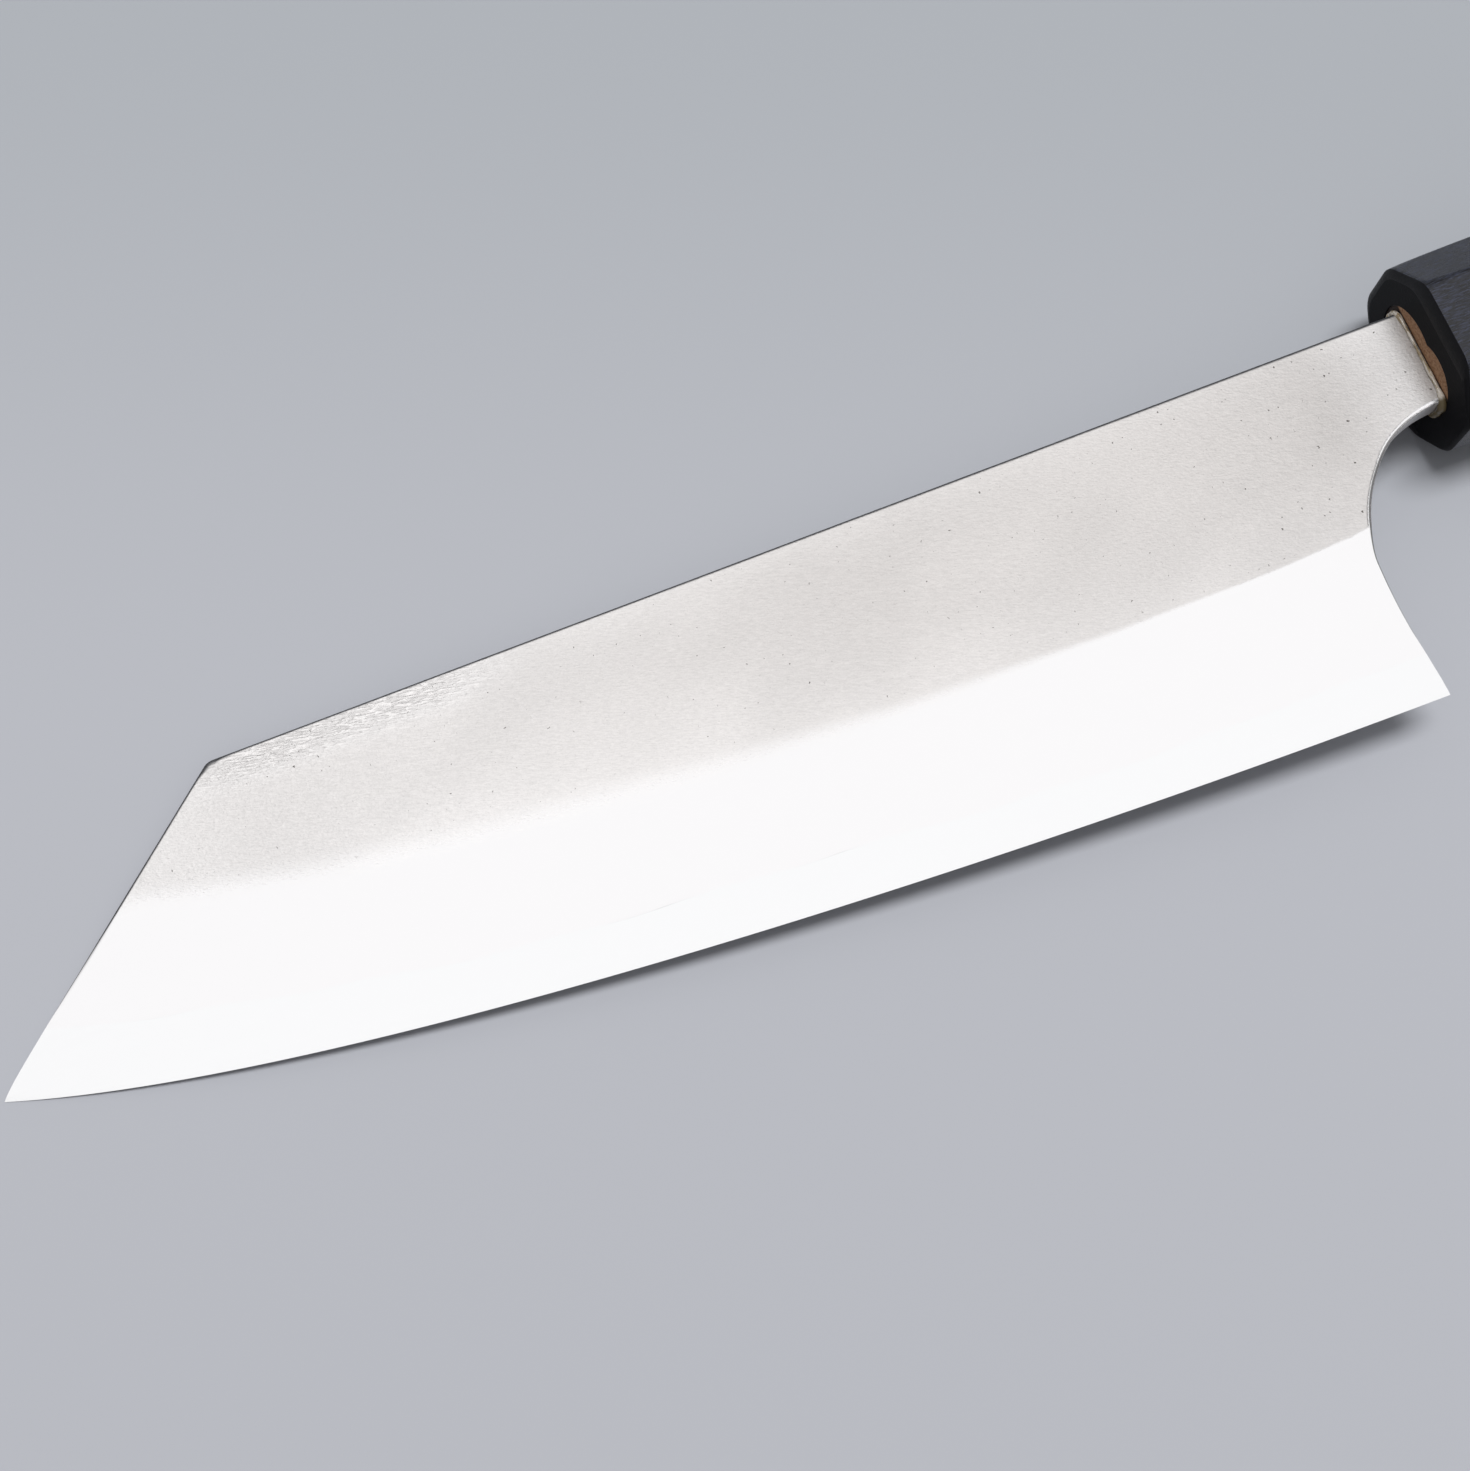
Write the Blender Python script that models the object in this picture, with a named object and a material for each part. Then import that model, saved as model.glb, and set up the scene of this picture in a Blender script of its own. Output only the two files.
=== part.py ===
"""Bunka kitchen knife with an octagonal handle, lying on its side.

+X runs along the handle to its butt, +Y from the cutting edge to the spine, and +Z up,
square to the blade. The handle's lower flat lies on z = 0, and the origin is the middle
of the knife's footprint. Inside, every piece is drawn in blade axes: x = 0 is the front
of the handle, y = 0 the spine and z = 0 the middle of the blade's thickness.
All sizes are in metres.
"""

import math

import bmesh
import bpy
from mathutils import Vector

# Blade outline, seen from the side
EDGE_LENGTH = 0.180          # heel to tip, along the handle's axis
HEEL_SETBACK = 0.01625       # heel to the front of the handle
HEEL_HEIGHT = 0.04835        # spine down to the heel
TIP_DROP = 0.03032           # spine line down to the tip
HEEL_CURVE = 0.0361          # how far the heel's direction carries into the edge
HEEL_RISE = 0.0155           # rise of the edge per length at the heel
TIP_CURVE = 0.0429           # how far the tip's direction carries into the edge
TIP_RISE = 0.334             # rise of the edge per length at the tip
CLIP_ANGLE = math.radians(40.83)   # straight cut from the spine down to the tip
CLIP_CORNER_RADIUS = 0.0055  # where the clip meets the spine
NECK_HEIGHT = 0.01335        # blade where it enters the handle
CHOIL_RADIUS = 0.01655       # round notch between the heel and the handle

# Blade thickness
SPINE_AT_NECK = 0.0038
SPINE_AT_TIP = 0.00075
EDGE_THICKNESS = 0.0002
CORE_AT_NECK = 0.0010        # hard middle layer
CORE_AT_TIP = 0.0004
BEVEL_RISE = 0.0214          # edge up to the bevel line, along most of the blade
BEVEL_HEEL_EXTRA = 0.0016    # the bevel line climbs a little at the heel
BEVEL_ON_CLIP = 0.0279       # tip to the bevel line's end, along the clip
EASED_WIDTH_NECK = 0.00050   # width of the eased spine and choil
EASED_WIDTH_TIP = 0.00028
EASED_SHARE = 0.33           # share of the cladding that the easing takes away

# Hidden tang
TANG_LENGTH = 0.095
TANG_END_HEIGHT = 0.006
TANG_END_THICKNESS = 0.0022

# Handle
HANDLE_LENGTH = 0.138
HANDLE_HEIGHT_FRONT = 0.0224
HANDLE_HEIGHT_BUTT = 0.0246
HANDLE_THICKNESS = 0.0209
HANDLE_AXIS_DROP = 0.00606   # handle's axis below the spine
CORNER_CUT = 0.00605         # each long corner is cut back this far both ways
LONG_EDGE_RADIUS = 0.0010
FERRULE_LENGTH = 0.028
FRONT_CHAMFER_FACE = 0.0018
FRONT_CHAMFER_DEPTH = 0.0010
BUTT_CHAMFER_FACE = 0.0012
BUTT_CHAMFER_DEPTH = 0.0012

# Wooden core in the two-lobed bore, and the resin round the blade's neck
LOBE_RADIUS = 0.0051
LOBE_RIM = 0.0012            # bore beyond the neck, above and below
CORE_BEHIND_TANG = 0.004
CORE_RECESS = 0.0002
BEAD_SIDE = 0.00024          # radius of the resin bead along the neck's sides
BEAD_TOP = 0.00028           # how much more it has at the spine end
BEAD_HEEL = 0.00048          # and at the heel end
BEAD_END_SHARE = 0.2         # share of the neck's height that each fat end takes

# Clearances
TANG_GAP = 0.0002
BORE_GAP = 0.00012
GLUE_LINE = 0.00005
BEAD_GAP = 0.00008
CUTTER_OVERRUN = 0.002       # cutters start this far outside the piece

# Fineness of curves
EDGE_STEPS = 48
BEVEL_ROWS = 5
CHOIL_STEPS = 20
CHOIL_FADE_STEPS = 6         # the easing fades out over the choil's last steps
CLIP_CORNER_STEPS = 5
LOBE_STEPS = 20
BEAD_SIDES = 8
BEAD_TURN_STEPS = 4
BEAD_SIDE_STEPS = 14
BEAD_END_STEPS = 3
HANDLE_SMOOTH_BELOW = math.radians(20)
BEAD_SMOOTH_BELOW = math.radians(50)
ON_JUNCTION = 1e-9           # a point this close to x = 0 lies on the handle's front

HALF_NECK = SPINE_AT_NECK / 2
HALF_TIP = SPINE_AT_TIP / 2
HALF_EDGE = EDGE_THICKNESS / 2
TIP_X = -HEEL_SETBACK - EDGE_LENGTH
AXIS_Y = -HANDLE_AXIS_DROP
BORE_END = TANG_LENGTH + CORE_BEHIND_TANG


def clear_scene():
    for old in list(bpy.data.objects):
        bpy.data.objects.remove(old, do_unlink=True)


def material(name, colour, roughness, metallic):
    """A Principled material with one plain colour."""
    made = bpy.data.materials.new(name)
    made.use_nodes = True
    shader = made.node_tree.nodes["Principled BSDF"]
    shader.inputs["Base Color"].default_value = (*colour, 1.0)
    shader.inputs["Roughness"].default_value = roughness
    shader.inputs["Metallic"].default_value = metallic
    return made


class Solid:
    """Collects faces by the place of their corners, so neighbours share corners."""

    def __init__(self):
        self.mesh = bmesh.new()
        self.corners = {}

    def corner(self, point):
        key = tuple(round(value, 9) for value in point)
        if key not in self.corners:
            self.corners[key] = self.mesh.verts.new(key)
        return self.corners[key]

    def face(self, *points):
        ring = []
        for point in points:
            found = self.corner(point)
            if found not in ring:
                ring.append(found)
        if len(ring) > 2:
            self.mesh.faces.new(ring)

    def bands(self, rows, closed=False):
        """Faces between each row of points and the next."""
        for row, after in zip(rows, rows[1:]):
            count = len(row)
            for i in range(count if closed else count - 1):
                j = (i + 1) % count
                self.face(row[i], row[j], after[j], after[i])

    def finish(self, name, look, parent, smooth_below=None):
        bmesh.ops.recalc_face_normals(self.mesh, faces=self.mesh.faces)
        data = bpy.data.meshes.new(name)
        self.mesh.to_mesh(data)
        self.mesh.free()
        if smooth_below is not None:
            data.shade_smooth()
            data.set_sharp_from_angle(angle=smooth_below)
        data.materials.append(look)
        made = bpy.data.objects.new(name, data)
        bpy.context.scene.collection.objects.link(made)
        made.parent = parent
        return made


def half_thickness(x):
    """Half the steel's thickness: an even taper to the tip, another to the tang's end."""
    if x < 0:
        return HALF_NECK + (HALF_NECK - HALF_TIP) * x / -TIP_X
    return HALF_NECK + (TANG_END_THICKNESS / 2 - HALF_NECK) * x / TANG_LENGTH


def half_core(x):
    """Half the hard layer's thickness: one even taper from the tang's end to the tip."""
    return (CORE_AT_NECK + (CORE_AT_NECK - CORE_AT_TIP) * x / -TIP_X) / 2


def eased_width(x):
    share = min(1.0, max(0.0, x / TIP_X))
    return EASED_WIDTH_NECK + (EASED_WIDTH_TIP - EASED_WIDTH_NECK) * share


def edge_point(share):
    """Cutting edge from heel (0) to tip (1), a cubic curve led by its two end slopes."""
    start = Vector((-HEEL_SETBACK, -HEEL_HEIGHT))
    end = Vector((TIP_X, -TIP_DROP))
    first = start + HEEL_CURVE * Vector((-1, HEEL_RISE))
    second = end + TIP_CURVE * Vector((1, -TIP_RISE))
    rest = 1 - share
    return (start * rest ** 3 + first * 3 * rest ** 2 * share
            + second * 3 * rest * share ** 2 + end * share ** 3)


def bevel_point(share, foot):
    """Bevel line above an edge point; near the tip it leans over to end on the clip."""
    lean = BEVEL_ON_CLIP * math.cos(CLIP_ANGLE) * share ** 3
    end_change = BEVEL_ON_CLIP * math.sin(CLIP_ANGLE) - BEVEL_RISE
    rise = BEVEL_RISE + BEVEL_HEEL_EXTRA * (1 - share) ** 4 + end_change * share ** 6
    return foot + Vector((lean, rise))


def heel_x(y):
    """The blade's rear outline: a straight heel, then the round choil."""
    centre_y = -NECK_HEIGHT - CHOIL_RADIUS
    if y < centre_y:
        share = (y - centre_y) / (-HEEL_HEIGHT - centre_y)
        return -CHOIL_RADIUS + (CHOIL_RADIUS - HEEL_SETBACK) * share
    return -math.sqrt(CHOIL_RADIUS ** 2 - (y - centre_y) ** 2)


def bevel_grid():
    """Rows of (x, y, half thickness): edge, lamination line, then up to the bevel line."""
    columns = []
    for i in range(EDGE_STEPS + 1):
        share = i / EDGE_STEPS
        foot = edge_point(share)
        head = bevel_point(share, foot)
        if i == 0:
            head.x = heel_x(head.y)
        top = half_thickness(head.x)
        core_change = half_core(head.x) - half_core(foot.x)
        lamination = (half_core(foot.x) - HALF_EDGE) / (top - HALF_EDGE - core_change)
        heights = [0.0]
        heights += [lamination + (1 - lamination) * k / BEVEL_ROWS for k in range(BEVEL_ROWS + 1)]
        column = []
        for k, height in enumerate(heights):
            spot = foot.lerp(head, height)
            x = heel_x(spot.y) if i == 0 else spot.x
            z = half_core(x) if k == 1 else HALF_EDGE + (top - HALF_EDGE) * height
            column.append((x, spot.y, z))
        columns.append(column)
    return [list(row) for row in zip(*columns)]


def rounded_clip_corner():
    """Points from the clip to the spine round the corner between them."""
    corner_x = TIP_X + TIP_DROP / math.tan(CLIP_ANGLE)
    reach = CLIP_CORNER_RADIUS * math.tan(CLIP_ANGLE / 2)
    centre = Vector((corner_x + reach, -CLIP_CORNER_RADIUS))
    points = []
    for i in range(CLIP_CORNER_STEPS + 1):
        turn = CLIP_ANGLE * (1 - i / CLIP_CORNER_STEPS)
        points.append(centre + CLIP_CORNER_RADIUS * Vector((-math.sin(turn), math.cos(turn))))
    return points


def crown_outline(first, last):
    """Outline from the bevel line's end on the clip, over spine and tang, to the choil."""
    tang_half = TANG_END_HEIGHT / 2
    outline = [Vector(first[:2])]
    outline += rounded_clip_corner()
    outline.append(Vector((0, 0)))
    outline.append(Vector((TANG_LENGTH, AXIS_Y + tang_half)))
    outline.append(Vector((TANG_LENGTH, AXIS_Y - tang_half)))
    centre = Vector((0, -NECK_HEIGHT - CHOIL_RADIUS))
    sweep = math.acos((last[1] - centre.y) / CHOIL_RADIUS)
    for i in range(CHOIL_STEPS):
        turn = sweep * i / CHOIL_STEPS
        outline.append(centre + CHOIL_RADIUS * Vector((-math.sin(turn), math.cos(turn))))
    outline.append(Vector(last[:2]))
    return outline


def eased_border(outline):
    """Outer points, lowered by the easing, and inner points at full thickness."""
    outer = []
    inner = []
    for i, point in enumerate(outline):
        top = half_thickness(point.x)
        if i in (0, len(outline) - 1):
            outer.append((*point, top))
            inner.append((*point, top))
            continue
        fade = min(1.0, (len(outline) - 1 - i) / CHOIL_FADE_STEPS)
        before = (point - outline[i - 1]).normalized()
        after = (outline[i + 1] - point).normalized()
        normal_before = Vector((before.y, -before.x))
        normal_after = Vector((after.y, -after.x))
        mitre = (normal_before + normal_after) / (1 + normal_before.dot(normal_after))
        inside = point + mitre * eased_width(point.x) * fade
        drop = EASED_SHARE * (top - half_core(point.x)) * fade
        outer.append((*point, top - drop))
        inner.append((*inside, half_thickness(inside.x)))
    return outer, inner


def junction(points):
    """The two points of a border that lie where the blade meets the handle."""
    return [i for i, point in enumerate(points) if abs(point[0]) < ON_JUNCTION]


def on_core(points, side):
    """The same outline on the hard layer's face."""
    return [(x, y, side * half_core(x)) for x, y, _ in points]


def flipped(points, side):
    return [(x, y, z * side) for x, y, z in points]


def blade_border():
    """What all three layers share: the bevel rows, the eased border and the layer outline."""
    rows = bevel_grid()
    outline = crown_outline(rows[-1][-1], rows[-1][0])
    for meeting in junction(outline):
        outline[meeting].x = 0.0
    outer, inner = eased_border(outline)
    tip_column = [row[-1] for row in rows[2:-1]]
    heel_column = [row[0] for row in reversed(rows[2:-1])]
    around = rows[1] + tip_column + outer + heel_column
    return rows, outer, inner, around


def cladding(name, side, look, parent):
    """Soft steel on one side of the core: bevel, flat, eased border and tang cheek."""
    rows, outer, inner, around = blade_border()
    solid = Solid()
    solid.bands([flipped(row, side) for row in rows[1:]])
    outer_side = flipped(outer, side)
    inner_side = flipped(inner, side)
    spine_at, neck_at = junction(outer)
    solid.face(*flipped(rows[-1], side), *inner_side[1:spine_at + 1], *inner_side[neck_at:-1])
    solid.face(*inner_side[spine_at:neck_at + 1])
    solid.bands([inner_side, outer_side])
    wall = around[len(rows[1]) - 1:] + around[:1]
    solid.bands([flipped(wall, side), on_core(wall, side)])
    solid.face(*on_core(around, side))
    return solid.finish(name, look, parent)


def core_steel(name, look, parent):
    """Hard middle layer, which comes out below the cladding as the cutting edge."""
    rows, _, _, around = blade_border()
    solid = Solid()
    for side in (1, -1):
        solid.face(*on_core(around, side))
        solid.bands([flipped(row, side) for row in rows[:2]])
    wall = around[len(rows[1]) - 1:] + around[:1]
    solid.bands([on_core(wall, 1), on_core(wall, -1)])
    solid.bands([rows[0], flipped(rows[0], -1)])
    for end in (0, -1):
        foot = rows[0][end]
        head = rows[1][end]
        solid.face(foot, head, *flipped([head, foot], -1))
    return solid.finish(name, look, parent)


def octagon(x, height, inset=0.0):
    """Handle section at x: eight flats, their corners turned on a small radius."""
    half_y = height / 2 - inset
    half_z = HANDLE_THICKNESS / 2 - inset
    cut = CORNER_CUT - inset * (2 - math.sqrt(2))
    corners = []
    for sy, sz, swap in ((1, 1, 0), (1, 1, 1), (1, -1, 1), (1, -1, 0),
                         (-1, -1, 0), (-1, -1, 1), (-1, 1, 1), (-1, 1, 0)):
        away = (half_y, half_z - cut) if swap else (half_y - cut, half_z)
        corners.append(Vector((sy * away[0], sz * away[1])))
    points = []
    reach = LONG_EDGE_RADIUS * math.tan(math.pi / 8)
    for i, corner in enumerate(corners):
        before = (corners[i - 1] - corner).normalized()
        after = (corners[(i + 1) % 8] - corner).normalized()
        start = corner + before * reach
        end = corner + after * reach
        middle = corner + (before + after).normalized() * LONG_EDGE_RADIUS * (
            1 / math.cos(math.pi / 8) - 1)
        points += [start, middle, end]
    return [(x, AXIS_Y + point.x, point.y) for point in points]


def handle_height(x):
    return HANDLE_HEIGHT_FRONT + (HANDLE_HEIGHT_BUTT - HANDLE_HEIGHT_FRONT) * x / HANDLE_LENGTH


def lofted(name, sections, look, parent):
    """Solid through a row of like sections, with flat ends."""
    solid = Solid()
    solid.bands(sections, closed=True)
    solid.face(*sections[0])
    solid.face(*sections[-1])
    return solid.finish(name, look, parent, HANDLE_SMOOTH_BELOW)


def lobed_section(x, shrink=0.0):
    """Two drilled holes run together: one round the spine end of the slot, one below."""
    radius = LOBE_RADIUS - shrink
    upper = LOBE_RIM - LOBE_RADIUS
    lower = -NECK_HEIGHT - LOBE_RIM + LOBE_RADIUS
    cusp = math.acos((upper - lower) / 2 / radius)
    points = []
    for centre, facing in ((upper, 1), (lower, -1)):
        for i in range(LOBE_STEPS + 1):
            turn = (math.pi - cusp) * (1 - 2 * i / LOBE_STEPS)
            points.append((x, centre + facing * radius * math.cos(turn),
                           facing * radius * math.sin(turn)))
    return points


def tang_section(x, gap):
    """Rectangle round the tang at x, with a gap on every side."""
    share = x / TANG_LENGTH
    top = (AXIS_Y + TANG_END_HEIGHT / 2) * share + gap
    bottom = -NECK_HEIGHT + (AXIS_Y - TANG_END_HEIGHT / 2 + NECK_HEIGHT) * share - gap
    half = half_thickness(max(x, 0.0)) + gap
    return [(x, top, half), (x, bottom, half), (x, bottom, -half), (x, top, -half)]


def cutter(name, sections, parent):
    made = lofted(name, sections, material(name, (0.8, 0.2, 0.2), 0.5, 0.0), parent)
    made.hide_render = True
    made.display_type = "WIRE"
    return made


def cut(piece, tool):
    step = piece.modifiers.new("bore", "BOOLEAN")
    step.operation = "DIFFERENCE"
    step.solver = "EXACT"
    step.object = tool


def ferrule(look, parent):
    """Front piece of the handle, chamfered round its face and bored right through."""
    sections = [
        octagon(0, handle_height(0), FRONT_CHAMFER_FACE),
        octagon(FRONT_CHAMFER_DEPTH, handle_height(FRONT_CHAMFER_DEPTH)),
        octagon(FERRULE_LENGTH, handle_height(FERRULE_LENGTH)),
    ]
    return lofted("ferrule", sections, look, parent)


def handle_body(look, parent):
    """Rear piece of the handle, with a blind bore for the core."""
    front = FERRULE_LENGTH + GLUE_LINE
    rear = HANDLE_LENGTH - BUTT_CHAMFER_DEPTH
    sections = [
        octagon(front, handle_height(front)),
        octagon(rear, handle_height(rear)),
        octagon(HANDLE_LENGTH, handle_height(HANDLE_LENGTH), BUTT_CHAMFER_FACE),
    ]
    return lofted("handle_body", sections, look, parent)


def wood_core(look, parent):
    """Plug of pale brown wood that joins both handle pieces and grips the tang."""
    sections = [lobed_section(CORE_RECESS, BORE_GAP), lobed_section(BORE_END, BORE_GAP)]
    return lofted("wood_core", sections, look, parent)


def bead_radius(y):
    """Bead of resin: thin along the neck's sides, fat at its two ends."""
    depth = -y / NECK_HEIGHT
    top = BEAD_TOP * max(0.0, 1 - depth / BEAD_END_SHARE) ** 2
    heel = BEAD_HEEL * max(0.0, 1 - (1 - depth) / BEAD_END_SHARE) ** 2
    return BEAD_SIDE + top + heel


def resin_seal(look, parent):
    """Ring of resin on the handle's face, a bead that follows the neck's outline."""
    quarter = math.pi / 2
    corners = [Vector((0, HALF_NECK)), Vector((-NECK_HEIGHT, HALF_NECK)),
               Vector((-NECK_HEIGHT, -HALF_NECK)), Vector((0, -HALF_NECK))]
    spots = []
    for i, corner in enumerate(corners):
        following = corners[(i + 1) % 4]
        for k in range(BEAD_TURN_STEPS):
            turn = quarter * (i + k / BEAD_TURN_STEPS)
            spots.append((corner, Vector((math.cos(turn), math.sin(turn)))))
        turn = quarter * (i + 1)
        steps = BEAD_SIDE_STEPS if i % 2 == 0 else BEAD_END_STEPS
        for k in range(steps):
            spots.append((corner.lerp(following, k / steps), Vector((math.cos(turn), math.sin(turn)))))
    rings = []
    for base, normal in spots:
        radius = bead_radius(base.x)
        centre = base + normal * (radius + BEAD_GAP)
        ring = []
        for k in range(BEAD_SIDES):
            turn = 2 * math.pi * (k + 0.5) / BEAD_SIDES
            spot = centre + normal * radius * math.cos(turn)
            ring.append((-BEAD_GAP - radius + radius * math.sin(turn), spot.x, spot.y))
        rings.append(ring)
    solid = Solid()
    solid.bands(rings + rings[:1], closed=True)
    return solid.finish("resin_seal", look, parent, BEAD_SMOOTH_BELOW)


def build():
    clear_scene()
    butt_half = HANDLE_HEIGHT_BUTT / 2
    frame = bpy.data.objects.new("blade_axes", None)
    frame.location = (
        -(HANDLE_LENGTH + TIP_X) / 2,
        -(AXIS_Y + butt_half - HEEL_HEIGHT) / 2,
        HANDLE_THICKNESS / 2,
    )
    bpy.context.scene.collection.objects.link(frame)

    core_look = material("hard_steel", (0.52, 0.53, 0.54), 0.22, 1.0)
    clad_look = material("soft_steel", (0.66, 0.64, 0.61), 0.40, 1.0)
    horn_look = material("black_horn", (0.012, 0.012, 0.015), 0.30, 0.0)
    ebony_look = material("ebony", (0.018, 0.015, 0.014), 0.45, 0.0)
    wood_look = material("brown_wood", (0.20, 0.11, 0.06), 0.60, 0.0)
    resin_look = material("pale_resin", (0.62, 0.50, 0.30), 0.15, 0.0)

    core_steel("core_steel", core_look, frame)
    cladding("cladding_left", 1, clad_look, frame)
    cladding("cladding_right", -1, clad_look, frame)

    front = ferrule(horn_look, frame)
    body = handle_body(ebony_look, frame)
    core = wood_core(wood_look, frame)
    bore_ends = [lobed_section(-CUTTER_OVERRUN), lobed_section(BORE_END + BORE_GAP)]
    bore = cutter("bore", bore_ends, frame)
    slot_ends = [
        tang_section(-CUTTER_OVERRUN, TANG_GAP),
        tang_section(TANG_LENGTH + TANG_GAP, TANG_GAP),
    ]
    slot = cutter("tang_slot", slot_ends, frame)
    cut(front, bore)
    cut(body, bore)
    cut(core, slot)
    resin_seal(resin_look, frame)


build()
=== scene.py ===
"""Looks of a bunka knife: pear-skin and polished steel, black horn, ebony, brown wood and resin.

All sizes are in metres. Shapes are worked out in blade axes and then moved into the frame:
x = 0 is the front of the handle, y = 0 the spine and z = 0 the middle of the blade.
Run as a script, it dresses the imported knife, sets the stage and the camera, and ends.
"""

import math

import bmesh
import bpy
import numpy as np
from bpy.props import FloatProperty, FloatVectorProperty, PointerProperty
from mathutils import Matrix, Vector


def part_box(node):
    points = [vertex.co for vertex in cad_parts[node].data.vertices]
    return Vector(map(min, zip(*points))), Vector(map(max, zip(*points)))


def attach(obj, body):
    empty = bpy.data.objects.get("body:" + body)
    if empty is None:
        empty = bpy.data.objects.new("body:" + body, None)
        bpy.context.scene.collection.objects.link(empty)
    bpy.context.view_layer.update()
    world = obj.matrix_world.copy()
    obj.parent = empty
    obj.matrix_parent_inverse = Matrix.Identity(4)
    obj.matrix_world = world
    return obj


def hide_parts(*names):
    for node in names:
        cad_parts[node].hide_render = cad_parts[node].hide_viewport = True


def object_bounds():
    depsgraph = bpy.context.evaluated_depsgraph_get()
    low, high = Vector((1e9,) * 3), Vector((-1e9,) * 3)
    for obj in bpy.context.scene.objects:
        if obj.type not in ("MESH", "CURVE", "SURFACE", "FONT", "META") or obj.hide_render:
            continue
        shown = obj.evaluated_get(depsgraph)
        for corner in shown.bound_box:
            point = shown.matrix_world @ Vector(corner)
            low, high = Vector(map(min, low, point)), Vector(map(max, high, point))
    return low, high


bl_info = {
    "name": "Bunka knife looks",
    "version": (1, 0, 0),
    "blender": (4, 5, 0),
    "location": "3D View > Sidebar > Knife",
    "description": "Surfaces and finishes of a bunka kitchen knife",
    "category": "Object",
}

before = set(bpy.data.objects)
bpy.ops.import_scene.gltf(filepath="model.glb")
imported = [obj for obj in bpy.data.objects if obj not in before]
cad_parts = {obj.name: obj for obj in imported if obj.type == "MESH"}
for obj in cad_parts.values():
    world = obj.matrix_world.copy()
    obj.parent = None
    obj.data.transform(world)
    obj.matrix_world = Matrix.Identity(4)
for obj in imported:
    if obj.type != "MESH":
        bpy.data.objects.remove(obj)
CAD_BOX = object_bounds()
MM = 0.001

# Places and sizes read from the frame
CORE_LOW, CORE_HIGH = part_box("core_steel")
CLAD_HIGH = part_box("cladding_left")[1]
FERRULE_LOW, FERRULE_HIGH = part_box("ferrule")
BODY_LOW, BODY_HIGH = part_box("handle_body")
PLUG_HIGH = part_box("wood_core")[1]
ORIGIN = np.array([FERRULE_LOW.x, CLAD_HIGH.y, (FERRULE_LOW.z + FERRULE_HIGH.z) / 2])
TIP_X = CORE_LOW.x - ORIGIN[0]
HEEL_HEIGHT = ORIGIN[1] - CORE_LOW.y
TANG_LENGTH = CORE_HIGH.x - ORIGIN[0]
HALF_NECK = CLAD_HIGH.z - ORIGIN[2]
FERRULE_END = FERRULE_HIGH.x - ORIGIN[0]
BODY_START = BODY_LOW.x - ORIGIN[0]
HANDLE_END = BODY_HIGH.x - ORIGIN[0]
PLUG_END = PLUG_HIGH.x - ORIGIN[0]
AXIS_Y = (BODY_LOW.y + BODY_HIGH.y) / 2 - ORIGIN[1]
HALF_BUTT_HEIGHT = (BODY_HIGH.y - BODY_LOW.y) / 2
HALF_HANDLE = (FERRULE_HIGH.z - FERRULE_LOW.z) / 2

# Fineness of the grids
BLADE_COLUMNS = 400
CHOIL_COLUMNS = 60
TANG_COLUMNS = 30
FLAT_ROWS = 76
BEVEL_ROWS = 44
FACET_ROWS = 3
CORE_ROWS = 12
EASE_ROWS = 6
SIDE_POINTS = 24
CORNER_POINTS = 6
BEAD_POINTS = 300
BEAD_SIDES = 24
CLIP_CORNER_STEPS = 12
PLUG_RAYS = 320
CHAMFER_RINGS = 14
FERRULE_RINGS = 43
BODY_RINGS = 89
BUTT_RINGS = 10
FACE_RINGS = 11
BORE_RINGS = 8
SLOT_RINGS = 23
END_GRAIN_RINGS = 25
QUARTER_TURN = np.linspace(0, np.pi / 2, 5)

# Places on the blade that only its shaping needs
NOTCH_HEIGHTS = (-0.030, -0.025, -0.019, -0.015)  # its rounding starts, is full, lessens, ends
REAR_HEIGHTS = (-0.031, -0.023)  # the rear easing widens between them
WRINKLED_LENGTHS = (0.118, 0.135, 0.155, 0.172)  # wrinkles start, are full, lessen, end
HOLLOW_END = 0.002  # below the neck, where the heel's hollow ends
CLIP_SHARE = 0.015  # share of the edge over which the clip's bulge is taken up
BULGE_SHARE = 0.06  # share of the bevel's height over which the bulge grows at the tip
SPINE_FAN = 0.036  # length of spine on which the choil's columns end
CORNER_REACH = 0.0016  # how far the clip's corner widens the easing
END_SHARE = 0.03  # share of the edge over which columns bend to heel and clip
END_POINTS = 6  # points over which the easing grows at both ends of the outline
CHOIL_POINTS = 8  # points over which it changes to the choil's width
BEVEL_EASE = 0.35  # share of the easing that is left at the bevel's ends
HEEL_SOFTNESS = 0.35  # share of the bevel line's softness that is left at the heel
EASE_DEPTH = 0.8  # depth of the easing for its width
LAYER_SHARE = 0.6  # share of the soft layer's thickness that it takes at most

# Places on the handle that only its shaping needs
EIGHTH_TURN = math.radians(45)
BORE_ROUND = 0.00012  # rounding of the bore's rim
WAVE_LENGTH = 0.011  # length for one radian of the waves in the flats
# Painted shade: the lower chamfer is given the front's duller material
SHADED_CHAMFER_BELOW = 0.0075  # below the axis by this, the chamfer is as matt as the front
BEAD_OUT = 0.78  # radii from the steel to the middle of the resin bead
BEAD_AHEAD = 0.35  # radii from the handle's front to the middle of the bead

# Kinds of node. A ramp's inputs are the value, its low and high, and what they become.
MATH = "ShaderNodeMath"
RAMP = "ShaderNodeMapRange"
MIX = "ShaderNodeMix"
SMOOTH = {"interpolation_type": "SMOOTHSTEP"}
OF_COLOUR = {"data_type": "RGBA"}

# Numbers that the blade's points carry, some with painted light and shade, and directions of
# grain, wrinkles and fibres
FINISH_AND_LIGHT = ("over_line", "rim", "wrinkled", "tone_and_painted_light", "pitted")
GRAIN_TURN = math.radians(-21)
WRINKLE_TURN = math.radians(-10)
FIBRE_TURN = math.radians(1.5)


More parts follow.
